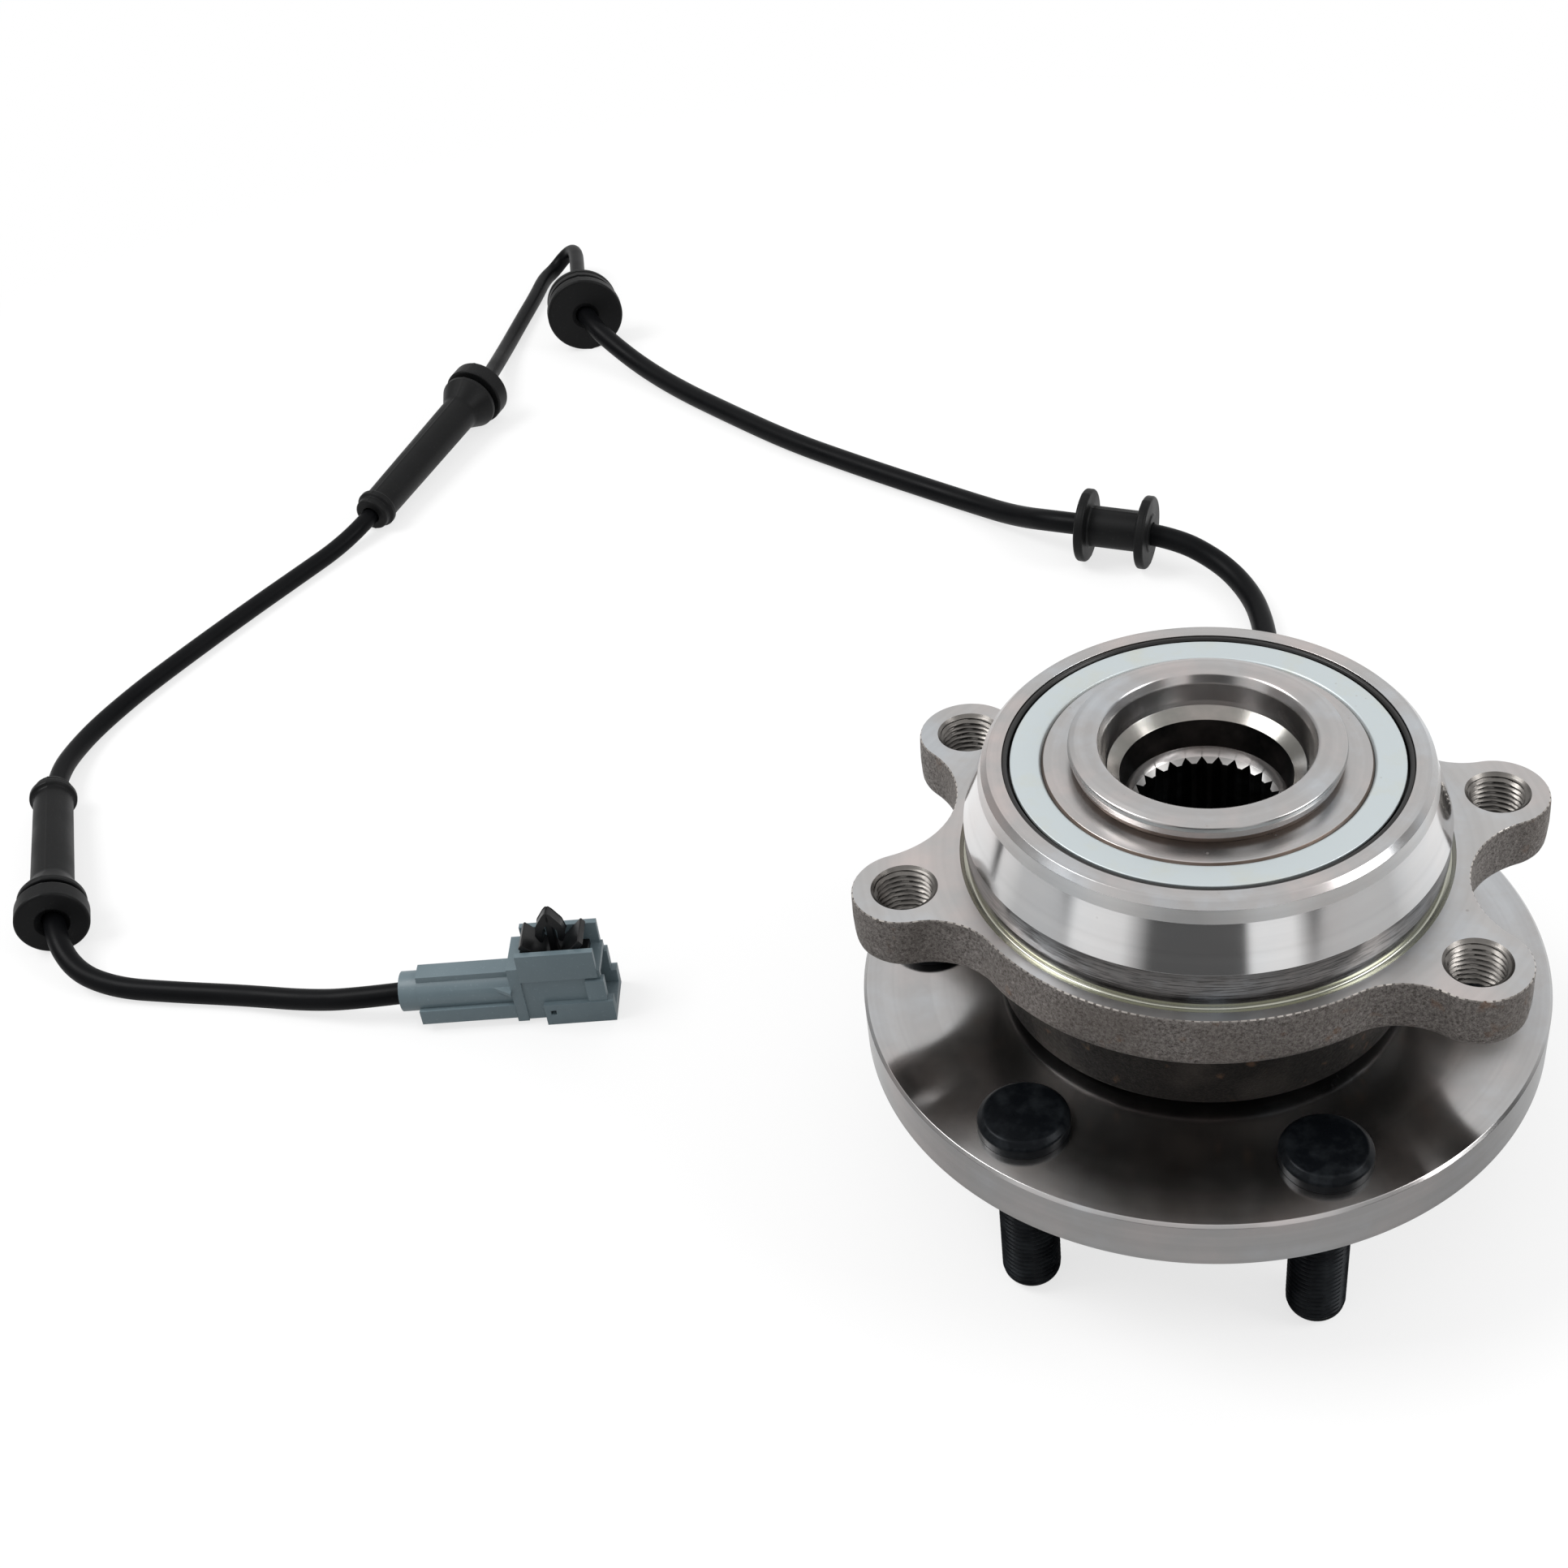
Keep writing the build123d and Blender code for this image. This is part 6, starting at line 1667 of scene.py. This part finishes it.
@dataclass
class SensorLead:
    """Sheathed stretch, bare stretch and the four grommets on them."""

    sheath_route: Sequence[Point] = (
        (0.0, 66.995, 67.5),
        (0.0, 92.1, 53.0),
        (-0.8, 113.0, 34.0),
        (-3.0, 130.5, 14.6),
        (-6.0, 146.5, 4.6),
        (-9.2, 161.5, 3.2),
        (-12.8, 178.8, 3.2),
        (-18.8, 194.5, 3.4),
        (-29.5, 205.8, 6.0),
        (-45.4, 210.2, 10.7),
        (-79.5, 212.2, 10.7),
        (-94.5, 221.0, 5.6),
        (-110.5, 230.0, 3.2),
        (-131.0, 237.8, 3.2),
        (-154.1, 246.9, 3.2),
        (-178.5, 257.3, 3.2),
        (-204.0, 271.4, 3.2),
        (-226.0, 284.2, 3.2),
        (-243.5, 295.2, 4.4),
        (-256.5, 302.6, 8.0),
        (-267.6, 309.0, 12.4),
        (-275.5, 320.5, 12.9),
    )
    lead_route: Sequence[Point] = (
        (-275.5, 320.5, 12.9),
        (-281.9, 333.6, 12.9),
        (-288.2, 348.0, 12.6),
        (-296.6, 366.0, 11.0),
        (-302.2, 369.0, 7.4),
        (-306.4, 365.0, 2.6),
        (-307.2, 357.5, 2.6),
        (-304.8, 344.5, 2.6),
        (-302.4, 326.5, 2.6),
        (-298.6, 303.5, 3.2),
        (-293.6, 283.5, 6.4),
        (-288.9, 266.0, 9.8),
        (-290.8, 227.0, 7.9),
        (-293.0, 187.5, 5.8),
        (-297.4, 174.0, 2.9),
        (-302.6, 158.0, 2.6),
        (-308.6, 138.0, 2.6),
        (-315.2, 114.0, 2.6),
        (-320.6, 92.0, 2.6),
        (-323.2, 71.0, 2.7),
        (-318.4, 50.6, 5.4),
        (-299.8, 22.2, 7.4),
        (-281.6, -5.8, 9.0),
        (-272.0, -14.4, 4.8),
        (-260.0, -16.2, 2.7),
        (-245.0, -14.6, 2.6),
        (-227.0, -12.2, 2.6),
        (-210.0, -12.0, 4.0),
        (-197.0, -11.6, 6.6),
        (-179.51, -6.23, 8.0),
    )
    sheath_hole: float = 3.15
    lead_hole: float = 2.55
    spool_centre: Point = (-61.5, 211.1, 10.7)
    spool_back: Point = (-79.5, 212.2, 10.7)
    round_face: Point = (-270.6, 312.9, 12.9)
    round_back: Point = (-281.9, 333.6, 12.9)
    upper: Sleeve = Sleeve(
        (-288.95, 264.0, 9.75), (-293.0, 188.2, 6.1), length=76.0, head=9.7, head_height=6.0,
        flange=9.0, root=5.8, tip=5.2, bead=6.1,
    )
    lower: Sleeve = Sleeve(
        (-282.6, -4.2, 8.9), (-315.4, 46.0, 5.9), length=60.0, head=8.8, head_height=5.5,
        flange=8.2, root=5.2, tip=4.9, bead=5.9,
    )
    sheath_radius: float = 3.2
    sheath_length: float = 445.6
    lead_radius: float = 2.6
    lead_length: float = 559.6

    def spool(self) -> Grommet:
        """Two discs on a barrel, the same at both ends.

        Returns:
            The grommet.
        """
        half = [
            Corner(6.0, 7.65, 0.7),
            Corner(10.7, 7.65, 0.8),
            Corner(10.7, 10.45, 0.8),
            Corner(5.9, 10.45, 0.3),
            Corner(5.4, 10.85, 0.2),
            Corner(self.sheath_hole, 10.85, 0.3),
        ]
        other = [replace(corner, height=-corner.height) for corner in half[::-1]]
        place = (self.spool_centre, self.spool_back)
        section = [*other, *half]
        return Grommet("spool_bush", "spool_grommet", *place, section, columns=96, seam=0.16)

    def round(self) -> Grommet:
        """Thick head, groove and tail, with a shallow step round the cable's hole.

        Returns:
            The grommet.
        """
        section = [
            Corner(self.sheath_hole, 0.7, 0.3),
            Corner(4.6, 0.0, 0.5),
            Corner(12.9, 0.0, 0.9),
            Corner(12.9, 4.0, 0.7),
            Corner(11.5, 4.0, 0.5),
            Corner(11.5, 6.9, 0.5),
            Corner(12.1, 6.9, 0.4),
            Corner(12.1, 8.9, 0.3),
            Corner(11.7, 9.2, 0.2),
            Corner(11.7, 9.7, 0.2),
            Corner(12.1, 10.0, 0.3),
            Corner(12.1, 11.9, 0.9),
            Corner(self.lead_hole, 11.9, 0.3),
            Corner(self.lead_hole, 3.0),
            Corner(self.sheath_hole, 3.0),
        ]
        place = (self.round_face, self.round_back)
        return Grommet("round_bush", "round_grommet", *place, section, columns=128, seam=0.18)

    def sleeve(self, name: str, node: str, sizes: Sleeve) -> Grommet:
        """Long sleeve: flat head, groove, flange, cone, tube and bead.

        Args:
            name: the piece's name.
            node: the CAD node that it stands for.
            sizes: its place and sizes.

        Returns:
            The grommet.
        """
        head, flange, tip, bead = sizes.head, sizes.flange, sizes.tip, sizes.bead
        thick, length = sizes.head_height, sizes.length
        groove = thick + 2.0
        cone = groove + 1.6
        bead_start = length - 5.5
        section = [
            Corner(self.lead_hole, 1.5),
            Corner(4.2, 0.0, 0.4),
            Corner(head, 0.0, 0.7),
            Corner(head, thick, 0.6),
            Corner(6.2, thick, 0.5),
            Corner(6.2, groove, 0.5),
            Corner(flange, groove, 0.5),
            Corner(flange, cone, 0.6),
            Corner(sizes.root, cone + 6.5, 4.0),
            Corner(tip, bead_start, 0.8),
            Corner(bead, bead_start + 0.7, 0.6),
            Corner(bead, bead_start + 2.3, 0.6),
            Corner(tip, bead_start + 3.0, 0.5),
            Corner(tip, length, 0.8),
            Corner(self.lead_hole, length, 0.2),
        ]
        return Grommet(name, node, sizes.face, sizes.tail, section, columns=88, seam=0.14)

    def build(self) -> None:
        sheath = LeadCord(
            "sheathed_cable",
            "sheathed_lead",
            self.sheath_radius,
            self.sheath_length,
            self.sheath_route,
        )
        bare = LeadCord(
            "bare_cable", "sensor_lead", self.lead_radius, self.lead_length, self.lead_route
        )
        cords = [sheath.build(), bare.build()]
        upper = self.sleeve("upper_sleeve", "sleeve_grommet_upper", self.upper)
        lower = self.sleeve("lower_sleeve", "sleeve_grommet_lower", self.lower)
        on_sheath = [self.spool().build(), self.round().build()]
        on_bare = [upper.build(), lower.build()]


# The connector and the sensor


def slab(outline: np.ndarray, half_width: float, edge: float = 0.15) -> Surface:
    """Plate of a closed outline, from -half_width to half_width along Y.

    Point (x, z) of the outline becomes (x, y, z). The outline shrinks along its normals by the
    size of the broken edge at both faces.

    Args:
        outline: points (x, z), anticlockwise.
        half_width: half of the plate's thickness.
        edge: size of the broken edge.

    Returns:
        The plate.
    """
    shrunk = outline - outward(outline) * edge
    loops = np.stack((shrunk, outline, outline, shrunk))
    across = np.array((-half_width, edge - half_width, half_width - edge, half_width))
    across = np.repeat(across[:, None, None], len(outline), axis=1)
    points = np.concatenate((loops[..., :1], across, loops[..., 1:]), axis=-1)
    parts = [grid_surface(points, Finish.CLIP)]
    for y in (-half_width, half_width):
        face = flat_face([shrunk], y, Finish.CLIP)
        face.points = face.points[:, [0, 2, 1]]
        parts.append(face)
    return Surface.joined(parts)


@dataclass
class ConnectorClip:
    """Arrow-headed fixing clip in the connector's rails.

    Lengths run along the connector from the clip's middle, and heights from its axis.
    """

    origin: Point = (-186.2, -8.3, 8.0)
    heading: float = math.radians(17.2)
    middle: float = 37.3
    half_length: float = 7.4
    half_width: float = 4.15
    floor: float = 7.0
    base: float = 1.6
    wing_rise: float = 5.6
    wing_thickness: float = 1.2
    post_half: float = 0.9
    arm_half_width: float = 1.35
    tip: float = 22.0

    def wing(self, side: int) -> np.ndarray:
        """Outline of one swept wing, from the base's middle out and up to its end.

        Args:
            side: 1 or -1, the way that it points.

        Returns:
            The outline, anticlockwise.
        """
        low, high = self.floor + self.base, self.floor + self.base + self.wing_rise
        corners = [
            Corner(0.3 * side, low - 0.6),
            Corner(1.6 * side, low - 0.3, 0.8),
            Corner(self.half_length * side, high - 0.2, 0.3),
            Corner((self.half_length - 0.9) * side, high + self.wing_thickness, 0.3),
            Corner(1.8 * side, low + 1.7, 1.2),
            Corner(0.3 * side, low + 1.3),
        ]
        return outline_of(corners[::side])

    def arm(self, side: int) -> np.ndarray:
        """Outline of one sprung arm: out from the arrow's tip in a curve, and in at its foot.

        Args:
            side: 1 or -1, the side that it is on.

        Returns:
            The outline, anticlockwise.
        """
        low = self.floor
        corners = [
            Corner(0.0, self.tip, 0.25),
            Corner(-0.1 * side, self.tip - 2.6, 0.2),
            Corner(1.9 * side, low + 9.6, 1.6),
            Corner(1.75 * side, low + 7.2, 0.3),
            Corner(2.3 * side, low + 6.0, 0.3),
            Corner(3.35 * side, low + 8.3, 0.5),
            Corner(2.75 * side, low + 11.2, 2.2),
            Corner(0.95 * side, self.tip - 1.0, 1.2),
        ]
        return outline_of(corners[::-side])

    def build(self) -> Piece:
        """Base, wings, post and arms as plates across the connector.

        Returns:
            The piece.
        """
        low, half, post_half = self.floor, self.half_length, self.post_half
        high, post_top = low + self.base, self.tip - 1.6
        base = [
            Corner(-half, low),
            Corner(half, low),
            Corner(half, high, 0.3),
            Corner(-half, high, 0.3),
        ]
        post = [
            Corner(-post_half - 0.5, low + 0.5),
            Corner(post_half + 0.5, low + 0.5),
            Corner(post_half, low + 4.0, 2.0),
            Corner(post_half * 0.8, post_top, 0.5),
            Corner(-post_half * 0.8, post_top, 0.5),
            Corner(-post_half, low + 4.0, 2.0),
        ]
        parts = [slab(outline_of(base), self.half_width), slab(outline_of(post), 0.95)]
        for side in (1, -1):
            parts.append(slab(self.wing(side), self.half_width - 0.1))
            parts.append(slab(self.arm(side), self.arm_half_width))
        turn = turn_about_z(self.heading)
        centre = np.array(self.origin) + turn @ (self.middle, 0.0, 0.0)
        surface = Surface.joined(parts).moved(turn, centre)
        return make_piece(
            "plug_clip", surface, Body.HOUSING, "connector_clip", crease=36.0
        )


def build_connector() -> None:
    """Softens the housing, makes the clip, and dresses the contacts and the wire seal."""
    soften("connector_housing", "plug_housing", Finish.CONNECTOR, width=0.5)
    ConnectorClip().build()
    dress(Finish.CONTACT, "connector_terminals")
    dress(Finish.SEAL, "connector_wire_seal")


def build_sensor() -> None:
    """Softens the sensor's moulded body, boot and screw, and dresses its inner pieces."""
    soften("sensor_body", "sensor_moulding", Finish.SENSOR, width=0.5)
    soften("sensor_strain_relief", "sensor_boot", Finish.GROMMET, width=0.5)
    soften("sensor_screw", "sensor_bolt", Finish.SCREW_ZINC, width=0.25)
    dress(Finish.SCREW_ZINC, "sensor_limiter")
    dress(Finish.SEAL, "sensor_o_ring")
    dress(Finish.MAGNET, "sensor_magnet")
    dress(Finish.SINTERED, "sensor_pole_piece", "tone_ring")
    dress(Finish.COPPER, "sensor_coil")


def build_insides() -> None:
    """Dresses the ball rows, cages and seal parts that are closed in."""
    dress(Finish.BALL, "inboard_balls", "outboard_balls")
    dress(Finish.CAGE, "inboard_cage", "outboard_cage")
    dress(Finish.SEAL, "inboard_seal_lip", "outboard_seal_lip", "outboard_seal_case")


# Studio


@dataclass
class Studio:
    """Pale floor, soft lamps and the camera at the photograph's viewing angle."""

    camera_place: Point = (51.33, -322.86, 353.92)
    elevation: float = 40.0486
    azimuth: float = 17.36
    roll: float = -4.2894
    lens: float = 49.88
    sensor: float = 36.0
    frame_pixels: float = 1932.0
    principal: tuple[float, float] = (1186.414, 1031.796)
    floor_half: float = 0.7
    floor_front: float = -0.35
    floor_middle: Point = (-0.1, 0.12, 0.0)
    front_starts: tuple[float, float] = (-0.15, 0.05)
    floor_colour: Colour = (0.93, 0.93, 0.93, 1.0)
    # painted shade: darker grey of the floor in front of the hub, seen in reflections and bounced
    # light
    floor_painted_front_shade: Colour = (0.48, 0.48, 0.48, 1.0)
    floor_white: tuple[float, float] = (0.72, 1.0)
    floor_fade: tuple[float, float] = (0.34, 0.46)
    floor_shine: tuple[float, float] = (0.9, 0.0)
    sky_strength: float = 0.8
    tent_starts: tuple[float, float] = (0.42, 0.66)
    lamp_target: Point = (0.0, 0.0, 0.06)
    front: Point = (0.157, -0.988, 0.0)
    side: Point = (0.988, 0.157, 0.0)
    walls: Sequence[tuple[float, float]] = (
        (-180.0, 1.0),
        (-120.0, 0.5),
        (-70.0, 0.26),
        (-62.0, 0.3),
        (-56.0, 1.0),
        (-34.0, 0.9),
        (-22.0, 0.11),
        (17.0, 0.11),
        (20.0, 1.0),
        (38.0, 1.0),
        (47.0, 0.2),
        (100.0, 0.2),
        (122.0, 1.0),
        (180.0, 1.0),
    )

    def camera(self) -> None:
        """Camera with its principal point shifted to where the photograph has it."""
        data = bpy.data.cameras.new("photo_camera")
        data.lens = self.lens
        data.sensor_width = self.sensor
        data.clip_start = 0.02
        data.clip_end = 30.0
        middle = self.frame_pixels / 2.0
        data.shift_x = -(self.principal[0] - middle) / self.frame_pixels
        data.shift_y = (self.principal[1] - middle) / self.frame_pixels
        camera = bpy.data.objects.new("photo_camera", data)
        turn = Matrix.Rotation(math.radians(self.azimuth), 4, "Z")
        tilt = Matrix.Rotation(math.radians(90.0 - self.elevation), 4, "X")
        spin = Matrix.Rotation(math.radians(self.roll), 4, "Z")
        place = Matrix.Translation(Vector(self.camera_place) * MM)
        camera.matrix_world = place @ turn @ tilt @ spin
        bpy.context.scene.collection.objects.link(camera)
        bpy.context.scene.camera = camera

    def floor(self) -> None:
        """Level floor under the stud tips.

        The camera sees part of it as plain white, more with the distance from the hub, so that it
        meets the white room with no edge and still holds the shadow.
        For all other rays the floor in front of the hub is painted a darker grey: painted shade,
        which darkens the metal's reflections of the front and the light bounced up from it.
        """
        half, front = self.floor_half, self.floor_front
        mesh = bpy.data.meshes.new("floor")
        corners = [(-half, front, 0.0), (half, front, 0.0), (half, half, 0.0), (-half, half, 0.0)]
        mesh.from_pydata(corners, [], [(0, 1, 2, 3)])
        material, graph, surface = new_material("floor_sheet")
        place = graph.place()
        reach = graph.vector("DISTANCE", place, self.floor_middle)
        ahead = graph.vector("DOT_PRODUCT", place, self.front)
        fade = graph.remap(reach, *self.floor_fade, *self.floor_white)
        path = graph.add("LightPath").outputs
        shiny = graph.math("ADD", path["Is Glossy Ray"], path["Is Transmission Ray"])
        shine = graph.remap(ahead, *self.front_starts, *self.floor_shine)
        shiny = graph.math("MULTIPLY", shiny, shine)
        seen = graph.math("ADD", path["Is Camera Ray"], shiny, clamp=True)
        white = graph.math("MULTIPLY", fade, seen)
        # Painted shade: all rays but the camera's see the floor in front of the hub darker grey.
        front_shade_share = graph.remap(ahead, *self.front_starts)
        floor_shaded_tone = graph.mix(front_shade_share, self.floor_colour, self.floor_painted_front_shade)
        floor_shaded_tone = graph.mix(path["Is Camera Ray"], floor_shaded_tone, self.floor_colour)
        graph.fill(
            surface,
            Base_Color=graph.mix(white, floor_shaded_tone, BLACK),
            Emission_Color=WHITE,
            Emission_Strength=white,
            Roughness=1.0,
            Specular_IOR_Level=0.0,
        )
        mesh.materials.append(material)
        floor = bpy.data.objects.new("floor", mesh)
        bpy.context.scene.collection.objects.link(floor)

    def lamp(self, name: str, place: Point, size: float, power: float) -> None:
        """Square area lamp that faces the hub.

        Args:
            name: the lamp's name.
            place: where it hangs, in metres.
            size: its side, in metres.
            power: its power in watts.
        """
        data = bpy.data.lights.new(name, "AREA")
        data.size = size
        data.energy = power
        lamp = bpy.data.objects.new(name, data)
        lamp.location = place
        aim = Vector(self.lamp_target) - Vector(place)
        lamp.rotation_euler = aim.to_track_quat("-Z", "Y").to_euler()
        bpy.context.scene.collection.objects.link(lamp)

    def sky(self) -> None:
        """Soft room, white to the camera.

        It is white overhead and behind, with two bright strips beside a dark gap in front.
        """
        world = bpy.data.worlds.new("studio_sky")
        bpy.context.scene.world = world
        world.use_nodes = True
        graph = Graph(world.node_tree)
        direction = graph.add("TexCoord").outputs["Generated"]
        height = graph.add("SeparateXYZ", n0=direction).outputs[2]
        ahead = graph.vector("DOT_PRODUCT", direction, self.front)
        aside = graph.vector("DOT_PRODUCT", direction, self.side)
        bearing = graph.remap(graph.math("ARCTAN2", aside, ahead), -math.pi, math.pi)
        walls = graph.ramp(bearing, [(turn / 360.0 + 0.5, level) for turn, level in self.walls])
        tent = graph.mix(graph.remap(height, *self.tent_starts), walls, WHITE)
        path = graph.add("LightPath").outputs
        shiny = graph.math("ADD", path["Is Glossy Ray"], path["Is Transmission Ray"], clamp=True)
        room = graph.math("MULTIPLY", tent, graph.blend(shiny, self.sky_strength, 1.0))
        strength = graph.blend(path["Is Camera Ray"], room, 1.0)
        graph.fill(world.node_tree.nodes["Background"], Color=WHITE, Strength=strength)

    def build(self) -> None:
        """Sets the colour view, the sky, the lamps, the floor and the camera."""
        bpy.context.scene.view_settings.view_transform = "Standard"
        self.sky()
        self.floor()
        self.lamp("key_softbox", (-1.0, -0.2, 1.3), size=0.7, power=13.0)
        self.lamp("side_softbox", (1.2, 0.0, 0.9), size=0.6, power=8.0)
        self.camera()


def main() -> None:
    """Builds the studio, and the pieces in order from the hub to the lead."""
    logging.basicConfig(level=logging.INFO, format="%(name)s %(message)s")
    Studio().build()
    HubSpindle().build()
    WheelStuds().build()
    OuterRing().build()
    SealedEnd().build()
    build_sensor()
    build_connector()
    SensorLead().build()
    build_insides()


if __name__ == "__main__":
    main()
